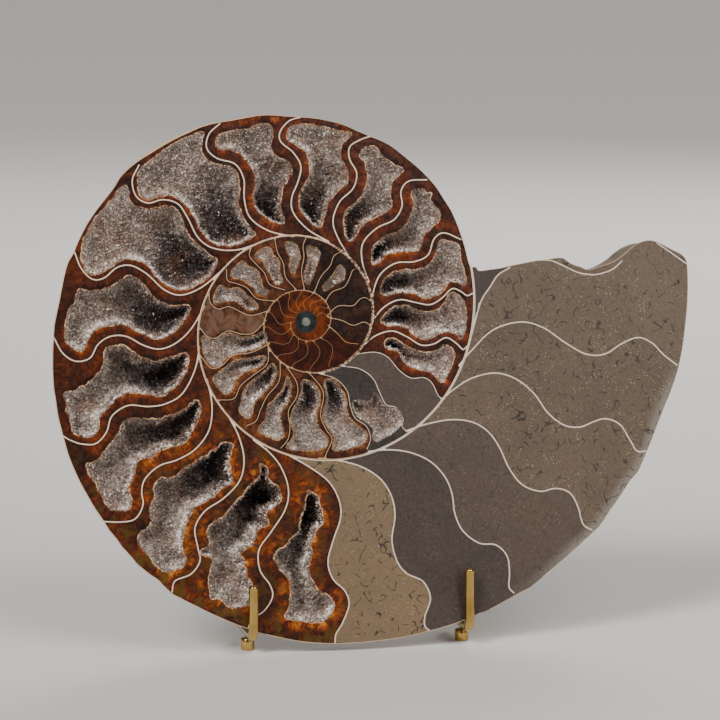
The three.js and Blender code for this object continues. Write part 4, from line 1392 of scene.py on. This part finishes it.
@dataclass
class Easel:
    """The brass wire easel: two hooks, two rests behind the stone, a bar, a rear leg and three small feet."""

    bend_radius: float = 3.0
    bend_points: int = 13
    sharp_degrees: float = 50.0

    def build(self, brass: bpy.types.Material) -> None:
        """Builds every rod and foot in the place of its CAD node.

        Args:
            brass: the rods' material.
        """
        for side in ("left", "right"):
            self.rod(f"brass_hook_{side}", self.hook_path(f"hook_{side}"), brass, f"hook_{side}")
            rest = self.slanted(f"back_rest_{side}", flip=side == "right")
            self.rod(f"brass_rest_{side}", rest, brass, f"back_rest_{side}")
            self.foot(f"brass_foot_{side}", f"foot_{side}", brass)
        low, high = self.corners("top_bar")
        middle, radius = (low + high) / 2, (high[2] - low[2]) / 2
        bar = np.array([[low[0], middle[1], middle[2]], [high[0], middle[1], middle[2]]])
        self.rod("brass_top_bar", bar, brass, "top_bar", radius)
        self.rod("brass_rear_leg", self.leg_path(), brass, "rear_leg", radius)
        self.foot("brass_foot_rear", "foot_rear", brass)

    def corners(self, node: str) -> tuple[np.ndarray, np.ndarray]:
        """Returns the lowest and highest corners of a CAD node, in millimetres."""
        low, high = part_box(node)
        return np.array(low) / MM, np.array(high) / MM

    def radius(self) -> float:
        """Returns the wire's radius, half the width of a hook."""
        low, high = self.corners("hook_left")
        return (high[0] - low[0]) / 2

    def hook_path(self, node: str) -> np.ndarray:
        """Middle of a hook: down in front of the stone, round a quarter circle and straight back under it.

        Args:
            node: the hook's CAD node.

        Returns:
            Points of the path.
        """
        low, high = self.corners(node)
        r = self.radius()
        x, front, level = (low[0] + high[0]) / 2, low[1] + r, low[2] + r
        turn = np.linspace(0, np.pi / 2, self.bend_points)
        bend = self.bend_radius
        back, down = front + bend - bend * np.cos(turn), level + bend - bend * np.sin(turn)
        arc = np.column_stack([0 * turn + x, back, down])
        rise = np.linspace(high[2], level + bend, 8, endpoint=False)
        run = np.linspace(high[1], front + bend, 8, endpoint=False)[::-1]
        return np.vstack([np.column_stack([0 * rise + x, 0 * rise + front, rise]), arc,
                          np.column_stack([0 * run + x, run, 0 * run + level])])

    def slanted(self, node: str, flip: bool) -> np.ndarray:
        """Middle of a rod that leans from one corner of its node's box to the opposite one.

        Args:
            node: the rod's CAD node.
            flip: whether it leans to the left.

        Returns:
            Points of the path.
        """
        low, high = self.corners(node)
        r = self.radius()
        start = np.array([high[0] - r if flip else low[0] + r, low[1] + r, low[2] + 0.3 * r])
        end = np.array([low[0] + r if flip else high[0] - r, high[1] - r, high[2]])
        return np.linspace(start, end, 24)

    def leg_path(self) -> np.ndarray:
        """Middle of the rear leg: from just behind the bar down to the rear foot.

        Returns:
            Points of the path.
        """
        low, high = self.corners("rear_leg")
        r = self.radius()
        x = (low[0] + high[0]) / 2
        return np.linspace([x, low[1] + r, high[2] - 0.4 * r], [x, high[1] - r, low[2] + 0.4 * r], 24)

    def rod(self, name: str, path: np.ndarray, brass: bpy.types.Material, node: str,
            radius: float = 0.0) -> None:
        """Makes one rod in the place of its CAD node.

        Args:
            name: the piece's name.
            path: points along its middle.
            brass: its material.
            node: the CAD node.
            radius: its radius, or nought for a hook's.
        """
        places, faces = tube(path, radius or self.radius())
        piece = make_piece(name, places, faces, [brass], smooth=True)
        piece.data.set_sharp_from_angle(angle=math.radians(self.sharp_degrees))
        dress(piece, "easel_brass", node)

    def foot(self, name: str, node: str, brass: bpy.types.Material) -> None:
        """Turns one foot: a plain peg with rounded edges.

        Args:
            name: the piece's name.
            node: the CAD node.
            brass: its material.
        """
        low, high = self.corners(node)
        r, tall = (high[0] - low[0]) / 2, high[2] - low[2]
        profile = np.array([(0, 0), (0.8 * r, 0), (0.94 * r, 0.06 * r), (r, 0.2 * r), (r, 0.5 * tall),
                            (r, tall - 0.2 * r), (0.94 * r, tall - 0.06 * r), (0.8 * r, tall), (0, tall)])
        centre = np.array([(low[0] + high[0]) / 2, (low[1] + high[1]) / 2, low[2]])
        places, faces = lathe(profile, centre)
        piece = make_piece(name, places, faces, [brass], smooth=True)
        piece.data.set_sharp_from_angle(angle=math.radians(self.sharp_degrees))
        dress(piece, "easel_brass", node)


def linear(code: str) -> tuple[float, float, float, float]:
    """Turns an sRGB hex colour to linear light: a straight part near black and a power of 2.4 above it.

    Args:
        code: the colour, such as #8a6246.

    Returns:
        Red, green, blue and 1 for opaque.
    """
    channels = [int(code[i:i + 2], 16) / 255 for i in (1, 3, 5)]
    light = [c / 12.92 if c <= 0.04045 else ((c + 0.055) / 1.055) ** 2.4 for c in channels]
    return (*light, 1.0)


def add(tree: bpy.types.NodeTree, kind: str, inputs: dict | None = None, output: int | str = 0,
        stops: tuple = (), **settings: object) -> bpy.types.NodeSocket:
    """Adds one node with its settings and links.

    Args:
        tree: the material's tree.
        kind: the node's type without its ShaderNode prefix.
        inputs: values or sockets for its inputs, by name or number.
        output: which output to return.
        stops: for a colour ramp, pairs of place and sRGB hex colour.
        settings: properties of the node.

    Returns:
        The chosen output.
    """
    node = tree.nodes.new("ShaderNode" + kind)
    for name, value in settings.items():
        setattr(node, name, value)
    for key, value in (inputs or {}).items():
        if isinstance(value, bpy.types.NodeSocket):
            tree.links.new(value, node.inputs[key])
        else:
            node.inputs[key].default_value = value
    for count, (place, code) in enumerate(stops):
        element = node.color_ramp.elements[count] if count < 2 else node.color_ramp.elements.new(place)
        element.position, element.color = place, linear(code)
    return node.outputs[output] if node.outputs else node


class Pattern:
    """Builds up one material's tree from marks, object places, patterns and colours."""

    def __init__(self, name: str) -> None:
        """Starts a material with an empty tree.

        Args:
            name: the material's name.
        """
        self.material = bpy.data.materials.new(name)
        self.material.use_nodes = True
        self.tree = self.material.node_tree
        self.tree.nodes.clear()
        self.place = add(self.tree, "TexCoord", output="Object")

    def mark(self, name: str) -> bpy.types.NodeSocket:
        """Reads one of the piece's own marks."""
        return add(self.tree, "Attribute", output="Fac", attribute_name=name)

    def sum(self, *terms: tuple[object, float]) -> bpy.types.NodeSocket:
        """Adds values, each times its weight.

        Args:
            terms: pairs of a value and its weight.

        Returns:
            The sum.
        """
        total: object = 0.0
        for value, weight in terms:
            total = add(self.tree, "Math", {0: value, 1: weight, 2: total}, operation="MULTIPLY_ADD")
        return total

    def ease(self, value: object, start: float, end: float, low: float = 0.0,
             high: float = 1.0) -> bpy.types.NodeSocket:
        """Eases from low at start to high at end, and holds each beyond."""
        inputs = {"Value": value, "From Min": start, "From Max": end, "To Min": low, "To Max": high}
        return add(self.tree, "MapRange", inputs, interpolation_type="SMOOTHSTEP")

    def times(self, first: object, second: object) -> bpy.types.NodeSocket:
        """Multiplies two values."""
        return add(self.tree, "Math", {0: first, 1: second}, operation="MULTIPLY")

    def noise(self, size_mm: float, detail: float = 3.0, vector: object = None,
              **inputs: float) -> bpy.types.NodeSocket:
        """Soft noise over the object.

        Args:
            size_mm: about how wide its blotches are.
            detail: how many finer layers it has.
            vector: places in millimetres to use instead of the object's own.
            inputs: further inputs of the node.

        Returns:
            A value about 0.5.
        """
        place, unit = (self.place, MM) if vector is None else (vector, 1)
        values = {"Vector": place, "Scale": 1 / (size_mm * unit), "Detail": detail, **inputs}
        return add(self.tree, "TexNoise", values)

    def ramp(self, value: object, *stops: tuple[float, str]) -> bpy.types.NodeSocket:
        """Turns a value into a colour along stops."""
        return add(self.tree, "ValToRGB", {"Fac": value}, stops=stops)

    def blend(self, share: object, under: object, over: object) -> bpy.types.NodeSocket:
        """Lays one colour over another by a share."""
        colours = [linear(c) if isinstance(c, str) else c for c in (under, over)]
        return add(self.tree, "Mix", {0: share, 6: colours[0], 7: colours[1]}, output=2, data_type="RGBA")

    def finish(self, colour: object, roughness: object, height: object = None, bump_mm: float = 0.0,
               **constants: object) -> bpy.types.Material:
        """Ends the tree in a Principled shader.

        Args:
            colour: base colour.
            roughness: a value or a socket.
            height: optional height pattern from 0 to 1.
            bump_mm: what the height pattern is worth, in millimetres.
            constants: further inputs set on the shader itself, with underscores for spaces.

        Returns:
            The material.
        """
        inputs = {"Base Color": colour, "Roughness": roughness}
        inputs.update({key.replace("_", " "): value for key, value in constants.items()})
        if height is not None:
            bump = {"Height": height, "Distance": bump_mm * MM, "Strength": 1.0}
            inputs["Normal"] = add(self.tree, "Bump", bump)
        shader = add(self.tree, "BsdfPrincipled", inputs)
        add(self.tree, "OutputMaterial", {"Surface": shader})
        return self.material


@dataclass(frozen=True)
class PolishedCalcite:
    """Calcite that filled the chambers from their walls inwards, sawn and polished to a gloss.

    Fibres stand square to the wall they grew from; blotches of iron stain lie over them. Under a chamber the
    thin edge is painted golden, a painted glow of light shining through it, and above it painted dark, a
    painted shade. The fibres are drawn coarser than real ones, 0.4 mm wide, so that they show.
    """

    name: str
    stops: tuple[tuple[float, str], ...]
    line: str
    fringe: str
    stain: str
    middle: float
    mottle: float
    fibre: float
    glow: float
    patch: float
    roughness: float = 0.14
    ior: float = 1.6

    def tone(self, p: Pattern) -> bpy.types.NodeSocket:
        """The brightness pattern before it is coloured.

        Args:
            p: the material's pattern.

        Returns:
            About 0 to 1.
        """
        fibre_place = add(p.tree, "CombineXYZ", {0: p.mark("along"), 1: p.times(p.mark("grow"), 0.16)})
        fibres = p.ease(p.noise(0.42, 3.0, fibre_place, Distortion=0.2), 0.3, 0.7)
        # Painted light and shade: by a mouth, lighter under the chamber and darker above it, from the lit
        # mark
        edge = p.times(p.ease(p.mark("pit"), 1.7, 0.0), p.mark("lit"))
        blotches = p.ease(p.noise(6.0, 4.0, Distortion=0.8), 0.3, 0.7)
        crumbs = p.noise(1.5, 5.0, Distortion=0.5)
        beside = p.ease(p.mark("grow"), 0.75, 0.2)
        return p.sum((blotches, self.mottle), (fibres, self.fibre), (crumbs, 0.3), (edge, self.glow),
                     (beside, -0.12), (1.0, self.middle - 0.5 * (self.mottle + self.fibre + 0.3)))

    def golden(self, p: Pattern) -> bpy.types.NodeSocket:
        """Where it is bright and yellow: round the lowest chambers and along the rim at the top.

        Args:
            p: the material's pattern.

        Returns:
            0 to 1.
        """
        low = p.times(self.lowest(p), p.ease(p.mark("pit"), 3.6, 1.4, 0.25, 0.9))
        top = p.times(p.ease(p.mark("turn"), 1140.0, 1165.0), p.ease(p.mark("turn"), 1205.0, 1180.0))
        return p.sum((low, 1.0), (p.times(top, p.ease(p.mark("border"), 3.4, 1.2)), 1.0))

    def lowest(self, p: Pattern) -> bpy.types.NodeSocket:
        """Returns the stretch of the last whorl that holds the lowest chambers."""
        return p.times(p.ease(p.mark("turn"), 1282.0, 1312.0), p.ease(p.mark("turn"), 1378.0, 1350.0))

    def stained(self, p: Pattern) -> bpy.types.NodeSocket:
        """Returns where the stain lies: in blotches by the lowest chambers, most of all near the rim."""
        near_rim = p.times(self.lowest(p), p.ease(p.mark("border"), 6.0, 2.0, 0.45, 1.0))
        return p.times(near_rim, p.ease(p.noise(3.1, 3.0), 0.46, 0.6))

    def build(self) -> bpy.types.Material:
        """Returns the material."""
        p = Pattern(self.name)
        golden = self.golden(p)
        patches = p.ease(p.noise(2.2, 4.0, Distortion=0.6), 0.44, 0.6)
        tone = p.sum((self.tone(p), 1.0), (p.times(golden, patches), self.patch), (golden, 0.02))
        colour = p.ramp(tone, *self.stops)
        colour = p.blend(p.times(self.stained(p), 0.75), colour, self.stain)
        ragged = p.sum((p.mark("pit"), 1.0), (p.noise(0.6, 3.0), 0.5), (1.0, -0.25))
        fringe = p.times(p.ease(ragged, 0.4, 0.12), p.ease(p.noise(0.5), 0.34, 0.56))
        fringe = p.times(fringe, p.ease(p.noise(2.8, 2.0), 0.4, 0.6, 0.3, 0.95))
        colour = p.blend(fringe, colour, self.fringe)
        colour = draw_shell_lines(p, colour, self.line)
        rough = p.ease(p.noise(1.2, 5.0), 0.3, 0.7, self.roughness, self.roughness + 0.1)
        return p.finish(colour, rough, IOR=self.ior)


@dataclass(frozen=True)
class InnerCalcite(PolishedCalcite):
    """The same calcite in the inner whorls: smoky in some chambers and milky in one, by its shade mark."""

    def tone(self, p: Pattern) -> bpy.types.NodeSocket:
        """Returns the brightness pattern, darker in the smoky chambers."""
        return p.sum((super().tone(p), 1.0), (p.ease(p.mark("shade"), 0.5, 0.0), -0.16))

    def golden(self, p: Pattern) -> bpy.types.NodeSocket:
        """Returns where it has lighter patches: all over, but not in the smoky chambers."""
        return p.ease(p.mark("shade"), 0.0, 0.5)

    def stained(self, p: Pattern) -> bpy.types.NodeSocket:
        """Returns the clouds of milky calcite, in the one chamber that has them."""
        clouds = p.ease(p.noise(2.6, 4.0, Distortion=1.0), 0.3, 0.62)
        return p.times(p.ease(p.mark("shade"), 0.9, 1.0), clouds)


@dataclass(frozen=True)
class CoreCalcite:
    """The first whorls, sawn and polished: a grey disc, a blue-black ring and brown calcite."""

    name: str = "dark_core_calcite_polished"
    dark: tuple[tuple[float, str], ...] = (
        (0.0, "#120705"), (1.0, "#8a4a1c"), (0.3, "#2a0f08"), (0.55, "#4a1d0c"), (0.78, "#6c300f"))
    warm: tuple[tuple[float, str], ...] = (
        (0.0, "#3a1508"), (1.0, "#d08a3a"), (0.4, "#6f2f0d"), (0.7, "#9c5118"))
    roughness: float = 0.14

    def build(self) -> bpy.types.Material:
        """Returns the material."""
        p = Pattern(self.name)
        along, across = p.times(p.mark("turn"), 0.12), p.times(p.mark("place"), 1.2)
        fibres = p.noise(0.5, 3.0, add(p.tree, "CombineXYZ", {0: along, 1: across}))
        blotches, crumbs = p.noise(2.4, 4.0, Distortion=0.5), p.noise(0.8, 4.0)
        tone = p.sum((blotches, 0.7), (fibres, 0.4), (crumbs, 0.3), (1.0, -0.36))
        dark = p.ramp(tone, *self.dark)
        warm = p.ramp(tone, *self.warm)
        side = p.times(p.ease(p.mark("turn"), 500.0, 460.0), p.ease(p.mark("turn"), 330.0, 380.0))
        share = p.sum((p.ease(p.mark("core"), 6.6, 5.0), 0.7), (side, 0.5))
        colour = p.blend(p.times(share, p.ease(p.noise(3.0, 3.0), 0.3, 0.55)), dark, warm)
        wavy = p.sum((p.mark("core"), 1.0), (p.noise(1.0, 3.0), 0.9), (1.0, -0.45))
        colour = p.blend(p.ease(wavy, 3.1, 2.7), colour, p.ramp(tone, (0.2, "#101517"), (0.8, "#3d4644")))
        colour = p.blend(p.ease(wavy, 1.25, 1.05), colour, p.ramp(tone, (0.2, "#5c5b55"), (0.8, "#98968c")))
        colour = draw_shell_lines(p, colour, "#9b744c")
        return p.finish(colour, self.roughness, IOR=1.6)


def draw_shell_lines(p: Pattern, colour: object, line: str) -> bpy.types.NodeSocket:
    """Lays the pale shell over a colour: septa, the wall with its darker middle, and the shell on the rim.

    Args:
        p: the material's pattern.
        colour: the colour under it.
        line: the shell's colour.

    Returns:
        The colour with the lines.
    """
    wall_colour = p.blend(p.times(p.ease(p.mark("wall"), 0.1, 0.04), 0.45), line, "#7a5238")
    wall_colour = p.blend(p.times(p.ease(p.noise(0.7), 0.5, 0.7), 0.35), wall_colour, "#9a7a60")
    bead = p.times(p.mark("bead"), p.ease(p.noise(0.5, 1.0), 0.44, 0.56))
    colour = p.blend(p.times(p.ease(p.mark("wall"), 0.42, 0.25), bead), colour, "#b59372")
    gap = p.times(p.mark("bead"), p.ease(p.noise(0.45, 1.0), 0.55, 0.45))
    wall_colour = p.blend(gap, wall_colour, "#4e3121")
    colour = p.blend(p.ease(p.mark("line"), 0.06, -0.02), colour, wall_colour)
    return p.blend(p.ease(p.mark("rim"), 1.0, 0.8), colour, "#d0ae8c")


@dataclass(frozen=True)
class PolishedMudstone:
    """Hard grey-brown lime mud that filled the body chamber, sawn and polished: crumbs and worm marks in it.

    The real grain is finer than 0.1 mm and is drawn at 0.6 mm, so that it shows.
    """

    name: str = "grey_brown_mudstone_polished"
    stops: tuple[tuple[float, str], ...] = (
        (0.0, "#201710"), (1.0, "#765f43"), (0.3, "#3b2e28"), (0.5, "#4a3c31"), (0.72, "#5f4f3d"))
    roughness: float = 0.3

    def build(self) -> bpy.types.Material:
        """Returns the material."""
        p = Pattern(self.name)
        clouds, grain = p.noise(14.0, 3.0), p.noise(0.6, 6.0)
        tone = p.sum((p.mark("shade"), 0.85), (clouds, 0.25), (grain, 0.5), (1.0, -0.33))
        colour = p.ramp(tone, *self.stops)
        # Painted highlight: a pale band along the rim on the right, where a rounded edge would catch the
        # light
        painted_rim_highlight = p.times(p.ease(p.mark("turn"), 1385.0, 1402.0), p.ease(p.mark("border"), 3.4, 0.3, 0.0, 0.5))
        colour = p.blend(p.times(painted_rim_highlight, p.ease(p.mark("turn"), 1436.0, 1428.0)), colour, "#8d857b")
        marked = p.ease(p.mark("shade"), 0.4, 0.66, 0.25, 1.0)
        colour = p.blend(p.times(self.worm_marks(p), marked), colour, "#211912")
        dots = add(p.tree, "TexVoronoi", {"Vector": p.place, "Scale": 1 / (0.9 * MM)}, output="Distance")
        dotted = p.times(p.ease(dots, 0.26, 0.12), p.ease(p.noise(1.4), 0.45, 0.58))
        colour = p.blend(p.times(dotted, 0.7), colour, "#2b231b")
        specks = add(p.tree, "TexVoronoi", {"Vector": p.place, "Scale": 1 / (0.7 * MM)}, output="Distance")
        speckled = p.times(p.ease(specks, 0.26, 0.12), p.ease(p.noise(5.0, 4.0), 0.44, 0.6))
        colour = p.blend(p.times(speckled, p.ease(p.mark("shade"), 0.4, 0.7, 0.2, 0.8)), colour, "#a8977f")
        colour = draw_shell_lines(p, colour, "#d6c4b2")
        rough = p.ease(p.noise(0.9), 0.3, 0.7, self.roughness, self.roughness + 0.12)
        return p.finish(colour, rough, IOR=1.5)

    def worm_marks(self, p: Pattern) -> bpy.types.NodeSocket:
        """Short dark curved marks, 1 to 4 mm long: thin contours of a soft noise, kept in small patches.

        Args:
            p: the material's pattern.

        Returns:
            How dark the mark is.
        """
        marks: object = 0.0
        for size, shift in ((3.4, 0.0), (5.2, 11.0)):
            moved = add(p.tree, "Mapping", {"Vector": p.place, "Location": (shift, 0.0, shift)})
            contour = add(p.tree, "TexNoise", {"Vector": moved, "Scale": 1 / (size * MM), "Detail": 0.6})
            off = add(p.tree, "Math", {0: p.sum((contour, 1.0), (1.0, -0.5))}, operation="ABSOLUTE")
            patch = add(p.tree, "TexNoise", {"Vector": moved, "Scale": 1 / (2.4 * MM), "Detail": 0.0})
            thin = p.ease(off, 0.075 / size, 0.035 / size)
            marks = p.sum((p.times(thin, p.ease(patch, 0.54, 0.61)), 0.85), (marks, 1.0))
        return marks


@dataclass(frozen=True)
class PearlyShell:
    """The outside of the shell, ground thin and buffed: brown mother-of-pearl with ribs and leafy sutures."""

    name: str = "mother_of_pearl_shell_buffed"
    stops: tuple[tuple[float, str], ...] = (
        (0.0, "#2a170d"), (1.0, "#c8ae86"), (0.32, "#54321a"), (0.5, "#7a522e"), (0.68, "#9d774c"))
    roughness: float = 0.26

    def build(self) -> bpy.types.Material:
        """Returns the material."""
        p = Pattern(self.name)
        rib_place = add(p.tree, "CombineXYZ", {0: p.mark("turn"), 1: p.times(p.mark("place"), 3.0)})
        ribs = p.noise(1.6, 2.0, rib_place, Distortion=0.3)
        tone = p.sum((p.noise(11.0, 5.0, Distortion=0.8), 0.75), (ribs, 0.3), (1.0, -0.02))
        colour = p.ramp(tone, *self.stops)
        wide, fine = p.noise(3.4, 3.0), p.noise(0.9, 2.0)
        frill = p.sum((wide, 7.0), (fine, 2.2), (1.0, -4.6), (p.mark("suture"), 1.0))
        leaf = p.ease(add(p.tree, "Math", {0: frill}, operation="ABSOLUTE"), 0.42, 0.2)
        colour = p.blend(p.times(leaf, 0.7), colour, "#1d110b")
        height = p.sum((ribs, 0.6), (leaf, -0.5))
        return p.finish(colour, p.ease(tone, 0.2, 0.9, self.roughness + 0.12, self.roughness), height, 0.12,
                        IOR=1.6, Coat_Weight=0.35, Coat_Roughness=0.12)


@dataclass(frozen=True)
class RoughStone:
    """Mudstone as it broke, unpolished: light, matt and granular."""

    name: str = "mudstone_broken"

    def build(self) -> bpy.types.Material:
        """Returns the material."""
        p = Pattern(self.name)
        grit = p.noise(0.6, 6.0)
        tone = p.sum((p.noise(5.0, 4.0), 0.7), (grit, 0.45), (1.0, -0.05))
        colour = p.ramp(tone, (0.0, "#3a2f25"), (1.0, "#a08e77"), (0.5, "#6d5f4e"))
        return p.finish(colour, 0.85, grit, 0.25, IOR=1.5)


@dataclass(frozen=True)
class DruzyCalcite:
    """Small clear to milky calcite crystals that grew free into the chambers; smoky ones among pale ones.

    Painted shade darkens them where a chamber lies deep near its inner wall, and a painted highlight whitens
    them just inside the lower rims.
    """

    name: str = "druzy_calcite_crystals"
    stops: tuple[tuple[float, str], ...] = (
        (0.0, "#120d0c"), (1.0, "#f4ebe2"), (0.3, "#443735"), (0.5, "#78685f"), (0.68, "#a39184"),
        (0.85, "#cfc0b3"))

    def build(self) -> bpy.types.Material:
        """Returns the material."""
        p = Pattern(self.name)
        # Painted highlight: whiter crystals just inside the lower rims, from the white mark
        painted_glint = p.times(p.mark("white"), p.ease(p.noise(3.0, 3.0), 0.35, 0.55))
        inner = p.ease(p.sum((p.mark("place"), 1.0), (p.noise(4.0, 3.0), 0.5), (1.0, -0.25)), 0.56, 0.2)
        # Painted shade: darker crystals where the chamber lies deep near its inner wall
        painted_deep_shade = p.times(inner, p.ease(p.mark("sunk"), 0.12, 0.4))
        blotches = p.noise(5.0, 4.0)
        tone = p.sum((p.mark("tone"), 0.42), (blotches, 0.5), (painted_deep_shade, -0.37), (painted_glint, 0.42), (1.0, 0.11))
        colour = p.ramp(tone, *self.stops)
        stain = p.times(p.ease(p.noise(7.0, 3.0), 0.5, 0.66), 0.3)
        colour = p.blend(stain, colour, "#8a6246")
        return p.finish(colour, 0.24, IOR=1.6)


@dataclass(frozen=True)
class DrawnBrass:
    """Brass rod, drawn and polished bright, with fine scuffs and a few dull finger marks.

    The scuffs are drawn coarser than real ones, at 0.25 mm, so that they show.
    """

    name: str = "brass_rod_polished"

    def build(self) -> bpy.types.Material:
        """Returns the material."""
        p = Pattern(self.name)
        dull = p.noise(7.0, 4.0)
        colour = p.ramp(dull, (0.25, "#a3803f"), (0.75, "#d8b66e"))
        scuffs = p.noise(0.25, 2.0)
        rough = p.sum((dull, 0.12), (scuffs, 0.04), (1.0, 0.04))
        return p.finish(colour, rough, scuffs, 0.003, Metallic=1.0)


AMBER = PolishedCalcite(
    "amber_calcite_polished",
    ((0.0, "#100502"), (1.0, "#e3b765"), (0.22, "#220d05"), (0.4, "#431a07"), (0.54, "#682a09"),
     (0.68, "#8f470f"), (0.84, "#b97a22")),
    line="#e6c9ae", fringe="#deb48e", stain="#4f3a12",
    middle=0.36, mottle=0.22, fibre=0.16, glow=0.27, patch=0.24)
BROWN = InnerCalcite(
    "brown_calcite_polished",
    ((0.0, "#0d0503"), (1.0, "#bd915c"), (0.25, "#210e06"), (0.45, "#3f1e0d"), (0.62, "#633317"),
     (0.8, "#8f5c30")),
    line="#b99470", fringe="#bd9264", stain="#6a5040",
    middle=0.4, mottle=0.24, fibre=0.18, glow=0.26, patch=0.1)


def build_finish(kind: FaceFinish) -> bpy.types.Material:
    """Builds the material of one of the stone's finishes.

    Args:
        kind: the finish.

    Returns:
        The material.
    """
    makers = {FaceFinish.AMBER: AMBER, FaceFinish.BROWN: BROWN, FaceFinish.CORE: CoreCalcite(),
              FaceFinish.MUD: PolishedMudstone(), FaceFinish.SHELL: PearlyShell(),
              FaceFinish.BREAK: RoughStone()}
    return makers[kind].build()


@dataclass
class Studio:
    """The plain pale floor, the soft lights and the camera at the photograph's angle."""

    sun_strength: float = 2.6
    sun_degrees: float = 22.0
    fill_watts: float = 26.0
    back_watts: float = 8.0
    strip_watts: float = 0.7
    strip_distance: float = 1.2
    strip_degrees: float = 36.0
    strip_size: tuple[float, float] = (0.1, 0.9)
    floor_half: float = 4000.0
    room_strength: float = 0.16

    def build(self) -> None:
        """Builds the floor, the lights and the camera."""
        self.floor()
        self.camera()
        key = self.light("key", "SUN", (-0.8, -0.85, 0.95), self.sun_strength)
        key.angle = math.radians(self.sun_degrees)
        self.light("fill", "AREA", (0.7, -1.5, 1.5), self.fill_watts).size = 1.3
        self.light("back", "AREA", (0.5, 0.95, 0.8), self.back_watts).size = 0.7
        self.strip("left_strip", -1)
        self.strip("right_strip", 1)
        world = bpy.data.worlds.new("soft_white_room")
        bpy.context.scene.world = world
        world.use_nodes = True
        background = world.node_tree.nodes["Background"]
        background.inputs["Color"].default_value = linear("#e6e4e0")
        background.inputs["Strength"].default_value = self.room_strength

    def strip(self, name: str, side: int) -> None:
        """A tall narrow light to one side of the camera, which adds a little light from the front.

        Args:
            name: the light's name.
            side: -1 to the left of the camera, 1 to the right.
        """
        right, _, forward = view_axes()
        turned = math.radians(self.strip_degrees)
        away = side * math.sin(turned) * right - math.cos(turned) * forward
        data = self.light(name, "AREA", tuple(FACE_POINT * MM + self.strip_distance * away), self.strip_watts)
        data.shape = "RECTANGLE"
        data.size, data.size_y = self.strip_size

    def floor(self) -> None:
        """A wide floor at the height the object stands on, with a faint grain of matt paper."""
        places = self.floor_half * np.array([(-1, -1, 0), (1, -1, 0), (1, 1, 0), (-1, 1, 0)])
        p = Pattern("matt_paper_pale")
        grain = p.noise(1.5, 4.0)
        paper = p.finish(p.ramp(grain, (0.3, "#d9d6d1"), (0.7, "#dedbd6")), 0.85, grain, 0.02)
        make_piece("pale_floor", places, np.array([[0, 1, 2, 3]]), [paper], smooth=False)

    def camera(self) -> None:
        """The photograph's eye: VIEW_DISTANCE in front of FACE_POINT, with the photograph's width in view."""
        right, up, forward = view_axes()
        data = bpy.data.cameras.new("photo_eye")
        data.sensor_width = SENSOR
        data.lens = SENSOR * VIEW_DISTANCE / (2 * PHOTO_MIDDLE * PIXEL)
        data.clip_start, data.clip_end = 0.05, 50.0
        eye = bpy.data.objects.new("photo_eye", data)
        turn = Matrix(np.stack([right, up, -forward], axis=1).tolist()).to_4x4()
        eye.matrix_world = Matrix.Translation((FACE_POINT - forward * VIEW_DISTANCE) * MM) @ turn
        bpy.context.scene.collection.objects.link(eye)
        bpy.context.scene.camera = eye

    def light(self, name: str, kind: str, place: tuple[float, float, float],
              energy: float) -> bpy.types.Light:
        """One light that looks at the middle of the object from a place in metres.

        Args:
            name: the light's name.
            kind: SUN or AREA.
            place: where it stands.
            energy: watts for an area, watts on each square metre for a sun.

        Returns:
            The light's data.
        """
        data = bpy.data.lights.new(name, kind)
        data.energy = energy
        lamp = bpy.data.objects.new(name, data)
        aim = Vector(FACE_POINT * MM) - Vector(place)
        lamp.matrix_world = Matrix.Translation(place) @ aim.to_track_quat("-Z", "Y").to_matrix().to_4x4()
        bpy.context.scene.collection.objects.link(lamp)
        return data


def main() -> None:
    """Builds the sub-assemblies in order."""
    logging.basicConfig(level=logging.INFO, format="%(name)s %(message)s")
    drawing = Drawing()
    chambers = [Chamber(mouth, drawing.spiral) for mouth in drawing.mouths]
    Stone(drawing, chambers).build()
    crystal = DruzyCalcite().build()
    for number, chamber in enumerate(chambers, start=1):
        Crust(chamber, drawing, number).build(crystal)
    Easel().build(DrawnBrass().build())
    Studio().build()


if __name__ == "__main__":
    main()
